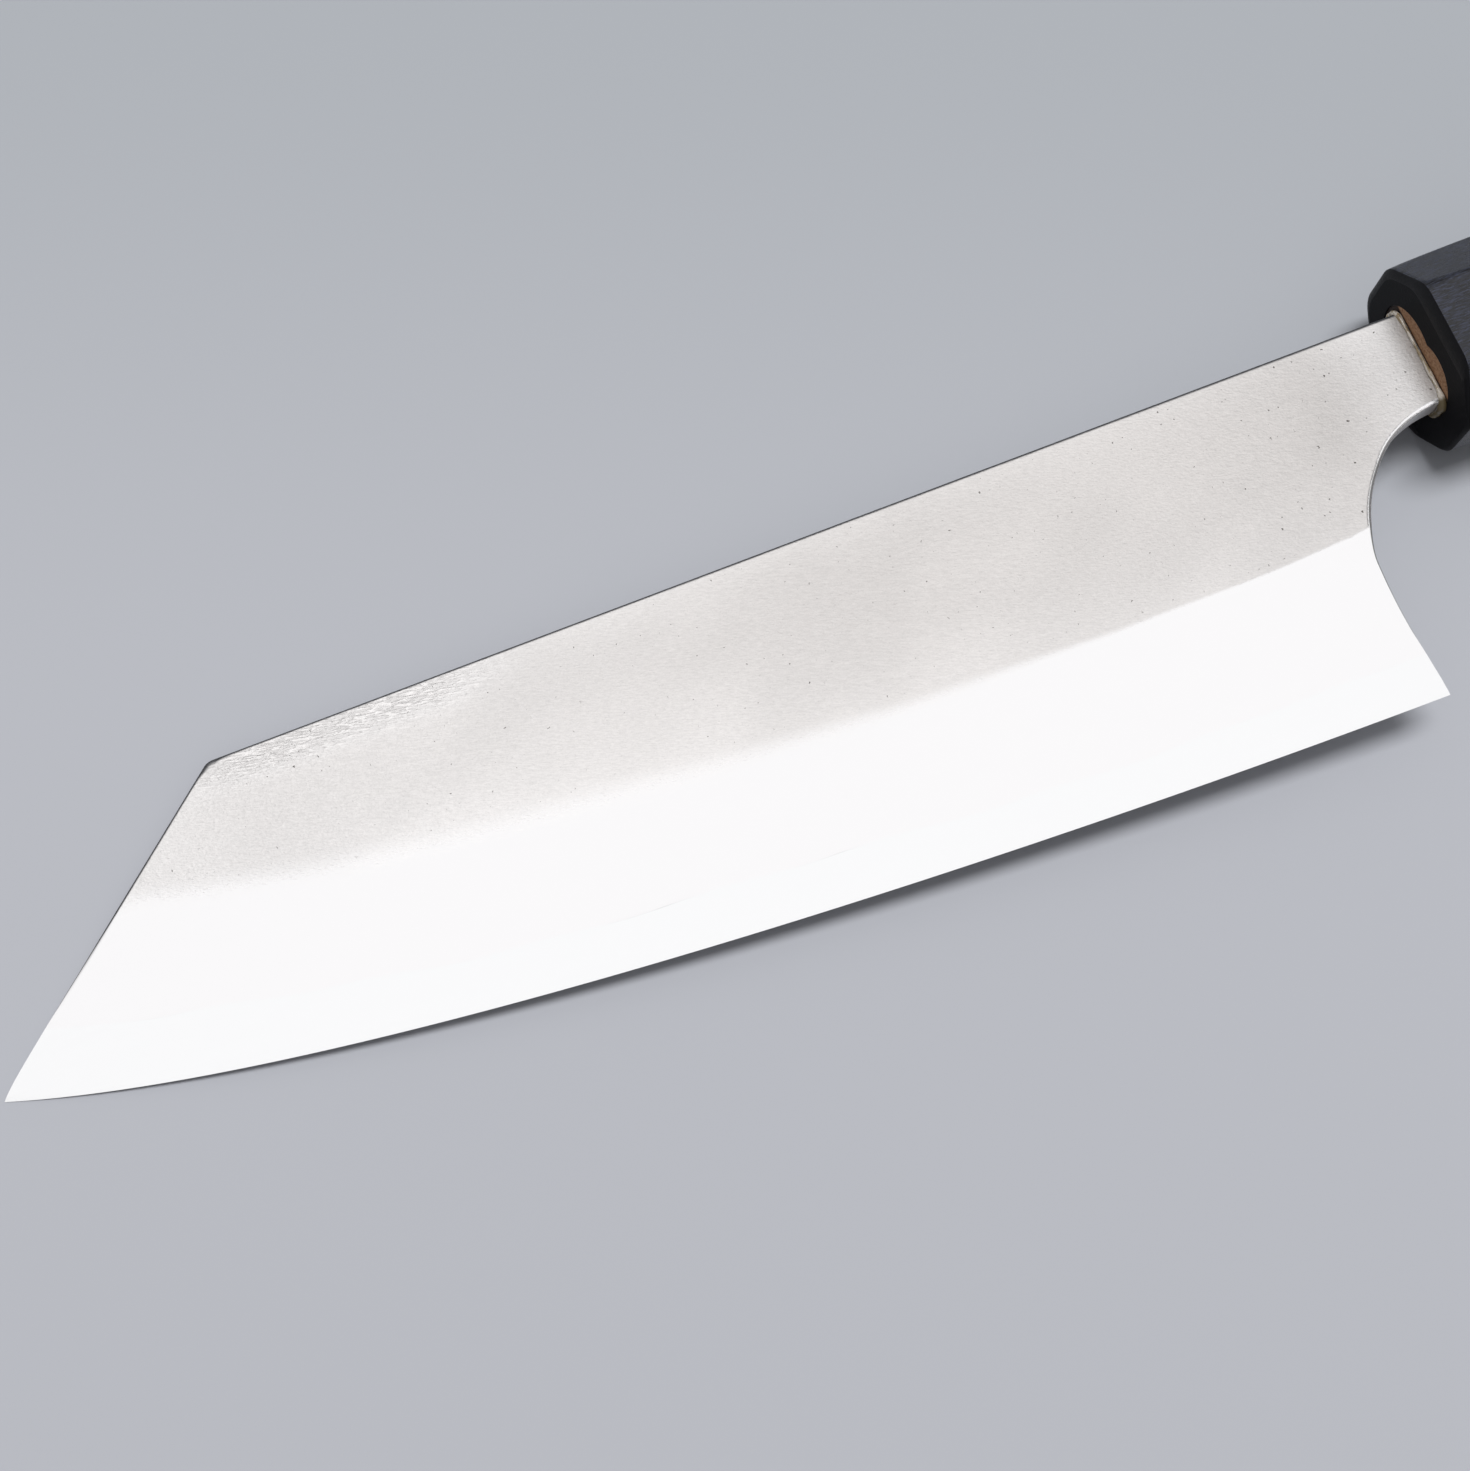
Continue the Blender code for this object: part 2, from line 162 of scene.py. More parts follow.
def rgba(text):
    """An sRGB hex colour as linear red, green, blue and alpha."""
    parts = np.array([int(text[i:i + 2], 16) for i in (1, 3, 5)]) / 255
    linear = np.where(parts <= 0.04045, parts / 12.92, ((parts + 0.055) / 1.055) ** 2.4)
    return (*[float(part) for part in linear], 1.0)


def length(name, description, default):
    return FloatProperty(name=name, description=description, default=default, unit="LENGTH",
                         precision=5)


def angle(name, description, degrees):
    return FloatProperty(name=name, description=description, default=math.radians(degrees),
                         subtype="ANGLE")


def number(name, description, default):
    return FloatProperty(name=name, description=description, default=default, precision=4)


def colour(name, description, text):
    return FloatVectorProperty(name=name, description=description, default=rgba(text), size=4,
                               min=0, max=1, subtype="COLOR")


class KnifeBlade(bpy.types.PropertyGroup):
    """Sizes of the blade that the frame's boxes don't give."""

    heel_setback: length("Heel setback", "Heel to the front of the handle", 0.01625)
    tip_drop: length("Tip drop", "Spine line down to the tip", 0.03032)
    heel_lead: length("Heel lead", "How far the heel's direction leads the edge", 0.0361)
    tip_lead: length("Tip lead", "How far the tip's direction leads the edge", 0.0429)
    heel_slope: number("Heel slope", "Rise of the edge for its length at the heel", 0.0155)
    tip_slope: number("Tip slope", "Rise of the edge for its length at the tip", 0.334)
    clip_angle: angle("Clip angle", "Slope of the straight cut from spine to tip", 40.83)
    clip_corner: length("Clip corner", "Radius where the clip meets the spine", 0.0018)
    clip_bulge: length("Clip bulge", "How far the clip lies outside its line", 0.00036)
    neck_height: length("Neck height", "Blade's height where it enters the handle", 0.01335)
    choil_radius: length("Choil radius", "Radius of the notch in front of the handle", 0.01655)
    heel_hollow: length("Heel hollow", "How much hollower than straight the heel is", 0.00095)
    half_tip: length("Half tip", "Half of the spine's thickness, carried on to the tip", 0.000375)
    half_edge: length("Half edge", "Half of the thickness behind the edge's last facet", 0.00004)
    edge_facet: length("Edge facet", "Height of the last facet at the cutting edge", 0.0005)
    half_core_neck: length("Half core at neck", "Half of the hard layer's thickness", 0.0005)
    half_core_tip: length("Half core at tip", "Half of the hard layer's thickness", 0.0002)
    bevel_rise: length("Bevel rise", "Edge up to the bevel line along the middle", 0.0213)
    bevel_heel_extra: length("Bevel extra at heel", "How much higher it is at the heel", 0.0017)
    bevel_on_clip: length("Bevel on clip", "Tip to the bevel line's end, along the clip", 0.0279)
    bevel_wave: length("Bevel wave", "Slow wave left in the bevel line by grinding", 0.00022)
    bevel_wobble: length("Bevel wobble", "Short wobble left in the bevel line", 0.00016)
    line_softness: length("Line softness", "Width of the rounded bevel line", 0.0007)
    line_width_heel: length("Line width at heel", "Polish fades into pear skin over it", 0.0004)
    line_width_tip: length("Line width at tip", "Polish fades into pear skin over it", 0.0042)
    bevel_belly: length("Bevel belly", "How far the bevel bulges from flat", 0.000018)
    ease_neck: length("Easing at neck", "Width of the rounded spine near the handle", 0.00050)
    ease_tip: length("Easing at tip", "Width of the rounded spine near the tip", 0.00032)
    ease_heel: length("Easing at heel", "Width of the rounded edge of the straight heel", 0.0003)
    ease_choil: length("Easing at choil", "Width of the rounded edge of the notch", 0.0006)
    choil_reach: length("Choil reach", "How far that rounding stands out of the arc", 0.00032)
    ease_corner: length("Easing at corner", "How much wider it is where the clip begins", 0.0005)
    half_tang_height: length("Half tang height", "Half of the tang's height at its end", 0.003)
    half_tang_end: length("Half tang end", "Half of the tang's thickness at its end", 0.0011)
    hollow_depth: length("Hollow depth", "Depth of the slow hollows left by forging", 0.000012)
    hollow_size: length("Hollow size", "Width of the slow hollows left by forging", 0.015)


class KnifeHandle(bpy.types.PropertyGroup):
    """Sizes of the handle, its core and the resin."""

    half_front: length("Half front height", "Half of the handle's height at its front", 0.01195)
    front_drop: length("Front drop", "Front's middle below the butt's middle", 0.00045)
    corner_cut: length("Corner cut", "How far each long corner is cut back both ways", 0.0062)
    long_edge: length("Long edge", "Rounding of the eight long edges", 0.0009)
    front_round: length("Front rounding", "How much rounder they are at the front", 0.0032)
    front_reach: length("Front reach", "How far back that extra rounding goes", 0.003)
    wander: length("Wander", "How far the flats wander from true, sanded by hand", 0.00003)
    chamfer_depth: length("Chamfer depth", "Front chamfer, along the handle", 0.0005)
    chamfer_sides: length("Chamfer on sides", "Front chamfer across the two side flats", 0.0028)
    chamfer_high: length("Chamfer, high", "Front chamfer across top and upper slants", 0.0013)
    chamfer_low: length("Chamfer, low", "Front chamfer across bottom and lower slants", 0.0006)
    seam_round: length("Seam rounding", "Rounding of both edges of the seam", 0.00012)
    butt_chamfer: length("Butt chamfer", "Chamfer round the butt", 0.0012)
    bore_pole: length("Bore pole", "Height where the bore's two lobes meet", -0.0065)
    upper_middle: length("Upper lobe middle", "Height of the upper lobe's middle", -0.0043)
    upper_half_height: length("Upper lobe half height", "Upper lobe, up and down", 0.0058)
    upper_half_width: length("Upper lobe half width", "Upper lobe, to both sides", 0.00475)
    lower_middle: length("Lower lobe middle", "Height of the lower lobe's middle", -0.0091)
    lower_radius: length("Lower lobe radius", "Radius of the lower lobe", 0.0052)
    plug_gap: length("Plug gap", "Gap between the core and its bore", 0.00004)
    plug_recess: length("Plug recess", "Core's end behind the handle's front", 0.00022)
    slot_gap: length("Slot gap", "Gap between the core's slot and the tang", 0.0002)
    slot_end_gap: length("Slot end gap", "Gap behind the end of the tang", 0.0002)
    bead_side: length("Bead side", "Radius of the resin bead along the neck", 0.0002)
    bead_low: length("Bead low", "How much more it has along the lower half", 0.0001)
    bead_top: length("Bead top", "How much more it has at the spine end", 0.00026)
    bead_heel: length("Bead heel", "How much more it has at the heel end", 0.00026)


class KnifeColours(bpy.types.PropertyGroup):
    """Colours of the finishes and of the table top."""

    pear_skin: colour("Pear skin", "Satin flats of the blade", "#d8d4d2")
    # Also the colour of painted light near the handle and towards the tip
    pear_skin_bright: colour("Pear skin, brighter", "Flats towards bevel line and tip", "#e8e5e4")
    polished: colour("Polished", "Ground and polished bevel", "#e5e4e5")
    hard_layer: colour("Hard layer", "Hard steel at the cutting edge", "#e5e5e6")
    # Painted shade along the eased spine and clip
    rim: colour("Rim", "Spine and clip, painted shade", "#737376")
    pit: colour("Pit", "Small dark pits in the flats", "#6f6a66")
    horn: colour("Horn", "Black horn of the ferrule", "#101014")
    # Paler fibres, with a blue tint that is a painted sheen
    horn_streak_and_painted_sheen: colour("Horn streak", "Paler fibres in the horn, with painted sheen", "#373b4d")
    horn_end: colour("Horn end", "Horn across its fibres, on the front face", "#161618")
    ebony: colour("Ebony", "Black wood of the handle", "#151312")
    ebony_grain: colour("Ebony grain", "Paler fibres in the black wood", "#2b2522")
    plug: colour("Plug wood", "Brown wood of the core", "#bf9673")
    plug_grain: colour("Plug grain", "Darker pores of the brown wood", "#9f7052")
    char: colour("Char", "Wood burnt by the hot tang", "#33221a")
    resin: colour("Resin", "Hardened resin round the neck", "#f0e8dd")
    resin_thick: colour("Resin, thick", "Resin where it is thick", "#b29f80")
    resin_drop: colour("Resin drop", "Resin in the drop at the heel end", "#72654a")
    table: colour("Table", "Plain matt table top", "#bbbdc4")
    # Painted shade on the table behind the knife
    table_far_painted_shade: colour("Table, far", "Table top behind the knife", "#afb3b9")


class KnifeStage(bpy.types.PropertyGroup):
    """Table, light and camera."""

    table_size: length("Table size", "Side of the table top", 3.0)
    tip_clearance: length("Tip clearance", "Table to the blade's middle at the tip", 0.0001)
    lamp_height: length("Lamp height", "Key lamp above the table", 2.4)
    key_wide: length("Key width", "Width of the lamp that lights table and wood", 1.7)
    key_deep: length("Key depth", "Depth of the lamp that lights table and wood", 0.76)
    key_share: number("Key share", "Share of the table's light that it gives", 0.73)
    key_right: length("Key right", "Key lamp towards the handle", 0.32)
    key_back: length("Key back", "Key lamp behind the knife", 0.32)
    panel_height: length("Panel height", "Panel above the table", 1.25)
    panel_size: length("Panel", "Diameter of the panel that the steel mirrors", 2.2)
    panel_glow: number("Panel glow", "Radiance of that panel", 0.88)
    panel_right: length("Panel right", "Panel towards the handle", 0.22)
    panel_back: length("Panel back", "Panel behind the knife", 0.33)
    room_glow: number("Room glow", "Radiance of the room overhead", 0.35)
    room_low: number("Room glow, low", "Radiance of the room near the horizon", 0.16)
    lens: number("Lens", "Focal length on a 36 mm sensor, in mm", 46.73)
    camera_tilt: angle("Camera tilt", "Camera's lean from straight down", 14.711)
    camera_turn: angle("Camera turn", "Camera's turn round the vertical", -21.628)


# Camera's place in the frame
CAMERA_PLACE = (-0.093257, -0.054956, 0.237561)


def s_curve(low, high, value):
    """0 below low, 1 above high, and a smooth S between them."""
    share = np.clip((value - low) / (high - low), 0.0, 1.0)
    return share * share * (3 - 2 * share)


def hump(places, value):
    """0, then 1 between the second and the third place, then 0 again, with smooth flanks."""
    return s_curve(*places[:2], value) * (1 - s_curve(*places[2:], value))


def crowded(count):
    """Shares from 0 to 1 in count steps, twice as close at both ends as they would be even."""
    even = np.linspace(0, 1, count + 1)
    return even - 0.5 * np.sin(2 * np.pi * even) / (2 * np.pi)


def steps(start, end, count):
    """Even steps from start to end, without the start itself."""
    return np.linspace(start, end, count + 1)[1:]


def circle(turn):
    """Points of a unit circle at the given angles: cosine and sine on a last axis."""
    return np.stack([np.cos(turn), np.sin(turn)], axis=-1)


def between(start, end, shares):
    """Straight line from start to end, at each share."""
    return start + (end - start) * np.asarray(shares)[:, None]


def along(points, shares):
    """Points at shares of the length of a chain of straight steps."""
    lengths = np.linalg.norm(np.diff(points, axis=0), axis=1)
    run = np.concatenate([[0.0], np.cumsum(lengths)]) / lengths.sum()
    return np.stack([np.interp(shares, run, points[:, k]) for k in range(2)], axis=1)


class Shell:
    """Grids and flat lids of points, welded along their shared borders into one closed mesh."""

    def __init__(self):
        self.points = []
        self.faces = []
        self.count = 0

    def grid(self, points, closed=False):
        """Adds rows by columns of points as four-sided faces, closed across the columns or not."""
        rows, columns = points.shape[:2]
        index = self.count + np.arange(rows * columns).reshape(rows, columns)
        if closed:
            index = np.concatenate([index, index[:, :1]], axis=1)
        corners = (index[:-1, :-1], index[:-1, 1:], index[1:, 1:], index[1:, :-1])
        self.faces += np.stack(corners, axis=-1).reshape(-1, 4).tolist()
        self.points.append(points.reshape(-1, 3))
        self.count += rows * columns

    def lid(self, points):
        """Adds one flat face through a ring of points."""
        self.faces.append(list(range(self.count, self.count + len(points))))
        self.points.append(points)
        self.count += len(points)

    def finish(self, name, sharp_above=35.0):
        """Welds the grids, turns every face outwards and moves the mesh into the frame."""
        data = bpy.data.meshes.new(name)
        places = np.concatenate(self.points) + ORIGIN
        data.from_pydata(places.tolist(), [], self.faces)
        mesh = bmesh.new()
        mesh.from_mesh(data)
        bmesh.ops.remove_doubles(mesh, verts=mesh.verts, dist=3e-7)
        bmesh.ops.dissolve_degenerate(mesh, edges=mesh.edges, dist=1e-8)
        bmesh.ops.recalc_face_normals(mesh, faces=mesh.faces)
        open_edges = sum(not edge.is_manifold for edge in mesh.edges)
        mesh.to_mesh(data)
        mesh.free()
        if open_edges:
            raise RuntimeError(f"{name} has {open_edges} edges that aren't between two faces")
        data.shade_smooth()
        data.set_sharp_from_angle(angle=math.radians(sharp_above))
        return new_object(name, data)


def new_object(name, data):
    """A new object in the scene."""
    made = bpy.data.objects.new(name, data)
    bpy.context.scene.collection.objects.link(made)
    return made


def read(items, field):
    """A field of three numbers, such as the place or the normal, of all points or faces."""
    flat = np.empty(len(items) * 3, np.float32)
    items.foreach_get(field, flat)
    return flat.reshape(-1, 3)


# Blade


def half_thickness(x):
    """Half of the steel: an even taper from x = 0 to the tip, another to the tang's end."""
    s = bpy.context.scene.knife_blade
    ahead = HALF_NECK + (HALF_NECK - s.half_tip) * x / -TIP_X
    behind = HALF_NECK + (s.half_tang_end - HALF_NECK) * x / TANG_LENGTH
    return np.where(x < 0, ahead, behind)


def half_core(x):
    """Half of the hard layer: one even taper from the tang's end to the tip."""
    s = bpy.context.scene.knife_blade
    return s.half_core_neck + (s.half_core_neck - s.half_core_tip) * x / -TIP_X


def edge_line(share):
    """Cutting edge from heel to tip: a cubic curve led by the slopes at its two ends."""
    s = bpy.context.scene.knife_blade
    start = np.array([-s.heel_setback, -HEEL_HEIGHT])
    end = np.array([TIP_X, -s.tip_drop])
    first = start + s.heel_lead * np.array([-1, s.heel_slope])
    second = end + s.tip_lead * np.array([1, -s.tip_slope])
    t = share[:, None]
    return (start * (1 - t) ** 3 + first * 3 * (1 - t) ** 2 * t
            + second * 3 * (1 - t) * t ** 2 + end * t ** 3)


def heel_hollow(y):
    """How far the grinding of choil and heel has run on into the blade: a hump along y, less
    what the choil's wide rounding stands out."""
    s = bpy.context.scene.knife_blade
    share = np.clip((y + HEEL_HEIGHT) / (HEEL_HEIGHT - s.neck_height - HOLLOW_END), 0, 1)
    hollow = s.heel_hollow * np.sin(np.pi * share ** 0.8) ** 2
    return hollow - s.choil_reach * hump(NOTCH_HEIGHTS, y)


def choil_middle():
    """Height of the middle of the notch's arc, which lies at the front of the handle."""
    s = bpy.context.scene.knife_blade
    return -s.neck_height - s.choil_radius


def spine_ease(x):
    """Width of the rounded spine: an even change from the handle to the tip."""
    s = bpy.context.scene.knife_blade
    return s.ease_neck + (s.ease_tip - s.ease_neck) * np.clip(x / TIP_X, 0, 1)


def rear_ease(y):
    """Width of the rounded rear edge: narrow along the heel, wide in the notch."""
    s = bpy.context.scene.knife_blade
    return s.ease_heel + (s.ease_choil - s.ease_heel) * s_curve(*REAR_HEIGHTS, y)


def heel_x(y):
    """Rear outline of the blade: a straight heel, then the round choil above it, both hollowed."""
    s = bpy.context.scene.knife_blade
    middle = choil_middle()
    straight = -s.choil_radius + (s.choil_radius - s.heel_setback) * (
        (y - middle) / (-HEEL_HEIGHT - middle))
    lift = np.clip(y - middle, 0, s.choil_radius)
    arc = -np.sqrt(s.choil_radius ** 2 - lift ** 2)
    return np.where(y < middle, straight, arc) - heel_hollow(y)


def clip_normal():
    """Direction out of the blade, square to the clip."""
    slope = bpy.context.scene.knife_blade.clip_angle
    return np.array([-math.sin(slope), math.cos(slope)])


def bevel_line(share):
    """Where bevel and flat meet: the edge moved up, more at the heel, leaning onto the clip
    at the tip, with a slow wave and a short wobble from grinding by hand."""
    s = bpy.context.scene.knife_blade
    lean = s.bevel_on_clip * math.cos(s.clip_angle) * share ** 3
    at_clip = s.bevel_on_clip * math.sin(s.clip_angle) - s.bevel_rise
    calm = np.sin(np.pi * share) ** 0.5
    wave = s.bevel_wave * np.sin(2 * np.pi * (share * 1.2 - 0.55))
    wobble = s.bevel_wobble * np.sin(2 * np.pi * share * 5.3 + 1) * np.sin(2 * np.pi * share * 2.1)
    rise = s.bevel_rise + s.bevel_heel_extra * (1 - share) ** 5 + at_clip * share ** 8
    move = np.stack([lean, rise + (wave + wobble) * calm], axis=1)
    return edge_line(share) + move + s.clip_bulge * share[:, None] ** 8 * clip_normal()


class Blade:
    """Outline, borders and grids that the three layers of the blade share."""

    def __init__(self):
        self.shares = np.linspace(0, 1, BLADE_COLUMNS + 1)
        self.near_heel = 1 - s_curve(0, END_SHARE, self.shares)
        self.near_clip = s_curve(1 - END_SHARE, 1, self.shares)
        self.edge = edge_line(self.shares)
        self.line = bevel_line(self.shares)
        self.line[0, 0] = heel_x(self.line[0, 1])
        self.bevel_height = np.linalg.norm(self.line - self.edge, axis=1)
        self.find_core_share()
        self.make_outline()
        self.make_border()
        self.make_grids()

    def find_core_share(self):
        """Share of the bevel's height at which the hard layer comes out from the soft one, and
        the bevel's tilt."""
        s = bpy.context.scene.knife_blade
        top = half_thickness(self.line[:, 0])
        foot = half_core(self.edge[:, 0])
        change = half_core(self.line[:, 0]) - foot
        calm = np.sin(np.pi * self.shares) ** 0.5
        wander = 1 + calm * (0.05 * np.sin(2 * np.pi * self.shares * 2.7)
                             + 0.03 * np.sin(2 * np.pi * self.shares * 9.3 + 2))
        self.core_share = (foot - s.half_edge) / (top - s.half_edge - change) * wander
        self.tilt = (top - s.half_edge) / self.bevel_height

    def on_bevel(self, shares):
        """Places at shares of the bevel's height: straight up from the edge, and near the heel
        and the clip moved over so that the first and last columns follow the outline."""
        places = self.edge[None] + (self.line - self.edge)[None] * shares[..., None]
        bulge = bpy.context.scene.knife_blade.clip_bulge * (
            1 - np.exp(-shares / BULGE_SHARE) - shares)
        bulge = bulge * s_curve(1 - CLIP_SHARE, 1, self.shares)
        places = places + bulge[..., None] * clip_normal()
        places[..., 0] += (heel_x(places[:, :1, 1]) - places[:, :1, 0]) * self.near_heel
        return places

    def make_outline(self):
        """Outline of the soft layer, clockwise in eight parts from the tip."""
        s = bpy.context.scene.knife_blade
        spread = np.linspace(0, 1, BEVEL_ROWS + 1) ** 0.8
        self.bevel_shares = self.core_share + (1 - self.core_share) * spread[:, None]
        self.rows = crowded(FLAT_ROWS)
        clip_low = self.on_bevel(self.bevel_shares)[:, -1]
        corner_x = TIP_X + s.tip_drop / math.tan(s.clip_angle) - s.clip_bulge / math.sin(
            s.clip_angle)
        reach = s.clip_corner * math.tan(s.clip_angle / 2)
        turn = s.clip_angle * (1 - np.linspace(0, 1, CLIP_CORNER_STEPS + 1))
        corner = np.array([corner_x + reach, -s.clip_corner])
        corner = corner + s.clip_corner * circle(turn)[:, ::-1] * [-1, 1]
        half = CLIP_CORNER_STEPS // 2
        clip_up = along(np.concatenate([self.line[-1:], corner[:half + 1]]), self.rows)
        neck_top = np.zeros(2)
        neck_low = np.array([0.0, -s.neck_height])
        far = np.concatenate([corner[half:], [neck_top]])
        fan = SPINE_FAN / np.linalg.norm(np.diff(far, axis=0), axis=1).sum()
        columns = CHOIL_COLUMNS + BLADE_COLUMNS
        spine = along(far, np.interp(np.arange(columns + 1), [0, BLADE_COLUMNS, columns],
                                     [0, 1 - fan, 1]))
        end_top, end_low = [np.array([TANG_LENGTH, AXIS_Y + up * s.half_tang_height])
                            for up in (1, -1)]
        back = np.linspace(0, 1, TANG_COLUMNS + 1)
        middle = np.array([0.0, choil_middle()])
        sweep = math.acos((self.line[0, 1] - middle[1]) / s.choil_radius)
        turn = sweep * np.linspace(0, 1, CHOIL_COLUMNS + 1)
        choil = middle + s.choil_radius * circle(turn)[:, ::-1] * [-1, 1]
        choil[:, 0] -= heel_hollow(choil[:, 1])
        heel = self.on_bevel(self.bevel_shares[::-1])[:, 0]
        self.parts = [clip_low, clip_up, spine, between(neck_top, end_top, back),
                      between(end_top, end_low, self.rows), between(end_low, neck_low, back),
                      choil, heel]
        self.outline = np.concatenate([part[:-1] for part in self.parts] + [heel[-1:]])

    def make_border(self):
        """Inner border: the outline moved in by the easing's width, mitred at its corners."""
        run = np.diff(self.outline, axis=0)
        run /= np.linalg.norm(run, axis=1)[:, None]
        turned = np.stack([run[:, 1], -run[:, 0]], axis=1)
        before = np.concatenate([turned[:1], turned])
        after = np.concatenate([turned, turned[-1:]])
        mitre = (before + after) / (1 + (before * after).sum(axis=1))[:, None]
        place = np.arange(len(self.outline))
        left = place[-1] - place
        near_ends, bevel_fade = [s_curve(0, count, place) * s_curve(0, count, left)
                                 for count in (END_POINTS, BEVEL_ROWS)]
        counts = np.cumsum([0] + [len(part) - 1 for part in self.parts])
        width = spine_ease(self.outline[:, 0])
        in_choil = s_curve(counts[6] - CHOIL_POINTS, counts[6], place)
        width += (rear_ease(self.outline[:, 1]) - width) * in_choil
        self.corner = self.outline[counts[2]]
        width += self.corner_ease(self.outline)
        self.ease = width * near_ends * (BEVEL_EASE + (1 - BEVEL_EASE) * bevel_fade)
        border = self.outline + mitre * self.ease[:, None]
        self.inner = [border[a:b + 1] for a, b in zip(counts, counts[1:])]

    def corner_ease(self, points):
        """How much wider the easing is near the corner of clip and spine."""
        away = np.linalg.norm(points[:, :2] - self.corner, axis=1)
        return bpy.context.scene.knife_blade.ease_corner * np.exp(-(away / CORNER_REACH) ** 2)

    def make_grids(self):
        """Flat: straight columns from bevel line and choil up to the spine, bent to the clip at
        the tip. Tang: straight columns too. Bevel: straight up from the edge."""
        clip_low, clip_up, spine, tang_top, tang_end, tang_low, choil, heel = self.inner
        near_heel, near_clip = self.near_heel[:, None], self.near_clip[:, None]
        line = self.line + (heel[0] - self.line[0]) * near_heel
        line += (clip_low[-1] - line[-1]) * near_clip
        self.low_border = line
        self.order = np.argsort(line[:, 0])
        bottom = np.concatenate([choil[:-1], line])
        t = self.rows[:, None, None]
        self.flat = (1 - t) * bottom + t * spine[::-1]
        bend = np.linspace(0, 1, len(bottom))[None, :, None] ** 8
        self.flat += bend * (clip_up - between(clip_up[0], clip_up[-1], self.rows))[:, None]
        self.flat[:, -1] = clip_up
        self.tang = (1 - t) * tang_low[::-1] + t * tang_top
        self.tang[:, -1] = tang_end[::-1]
        bevel = self.on_bevel(self.bevel_shares)
        heel_move = (heel[::-1] - bevel[:, 0])[:, None]
        clip_move = (clip_low - bevel[:, -1])[:, None]
        self.bevel = bevel + heel_move * near_heel + clip_move * near_clip
        self.bevel[-1] = line

    def above_line(self, points):
        """Height over the bevel line, straight up; below it, minus the depth."""
        line = self.low_border[self.order]
        return points[..., 1] - np.interp(points[..., 0], line[:, 0], line[:, 1])

    def softened(self, height, x, distance):
        """Takes the crest off the bevel line: half the bevel's tilt times the softness at the
        line itself, fading with the distance from it."""
        s = bpy.context.scene.knife_blade
        tilt = np.interp(x, self.low_border[self.order, 0], self.tilt[self.order])
        growth = (1 - HEEL_SOFTNESS) * s_curve(0, 0.05, -x - s.heel_setback)
        soft = s.line_softness * (HEEL_SOFTNESS + growth)
        return height - tilt * soft / 2 * np.exp(-distance / soft)

    def on_flat(self, points):
        """Flat's height: an even taper with slow hollows, and a softened crest at the line."""
        s = bpy.context.scene.knife_blade
        x, y = points[..., 0], points[..., 1]
        above = np.maximum(self.above_line(points), 0)
        u, v = x / s.hollow_size, y / s.hollow_size
        hollows = np.sin(2.1 * u + 1.3 * v) + np.sin(3.7 * v - 1.1 * u + 2) + 0.5 * np.sin(
            5.3 * u + 2.9 * v + 4)
        calm = (1 - s_curve(-0.012, -0.002, x)) * s_curve(0, 0.008, above)
        return self.softened(half_thickness(x) + s.hollow_depth * hollows * calm, x, above)

    def over_bevel(self, shares):
        """Bevel's height at shares of the way up: even, with a slight belly above the hard
        layer and a softened crest at the line."""
        s = bpy.context.scene.knife_blade
        top = half_thickness(self.low_border[:, 0])
        even = s.half_edge + (top - s.half_edge) * shares
        over = np.clip((shares - self.core_share) / (1 - self.core_share), 0, 1)
        belly = s.bevel_belly * np.sin(np.pi * over)
        fade = s_curve(0, 0.4, over)
        crest = even - self.softened(even, self.low_border[:, 0], (1 - shares) * self.bevel_height)
        return even + belly - crest * fade


def with_height(points, height):
    """Flat points with their height as third coordinate."""
    height = np.broadcast_to(height, points.shape[:-1])
    return np.concatenate([points, height[..., None]], axis=-1)


def soft_layer(name, side, blade):
    """One soft layer: grids of flat, bevel and tang, the easing as a quarter ellipse carried
    along the outline, a wall down to the hard layer, and the hidden face against it."""
    flat = with_height(blade.flat, blade.on_flat(blade.flat))
    bevel = with_height(blade.bevel, blade.over_bevel(blade.bevel_shares))
    bevel[-1, :, 2] = flat[0, CHOIL_COLUMNS:, 2]
    tang = with_height(blade.tang, half_thickness(blade.tang[..., 0]))
    tang[:, 0] = flat[:, 0]
    inner = np.concatenate([bevel[:-1, -1], flat[:-1, -1], flat[-1, :0:-1], tang[-1, :-1],
                            tang[:0:-1, -1], tang[0, :0:-1], flat[0, :CHOIL_COLUMNS],
                            bevel[::-1, 0]])
    foot = with_height(blade.outline, half_core(blade.outline[:, 0]))
    foot[0] = inner[0]
    foot[-1] = inner[-1]
    drop = np.minimum(blade.ease * EASE_DEPTH, (inner[:, 2] - foot[:, 2]) * LAYER_SHARE)
    turn = np.linspace(0, np.pi / 2, EASE_ROWS + 1)[:, None]
    eased = with_height(
        inner[:, :2] + (blade.outline - inner[:, :2]) * np.sin(turn)[..., None],
        inner[:, 2] - drop * (1 - np.cos(turn)))
    wall = np.stack([eased[-1], foot])
    mirror = np.array([1, 1, side])
    shell = Shell()
    for part in (flat, bevel, tang, eased, wall):
        shell.grid(part * mirror)
    shell.lid(np.concatenate([foot[:-1], bevel[0, :-1]]) * mirror)
    made = shell.finish(name)
    paint_finish_and_light(made.data, blade)
    return made


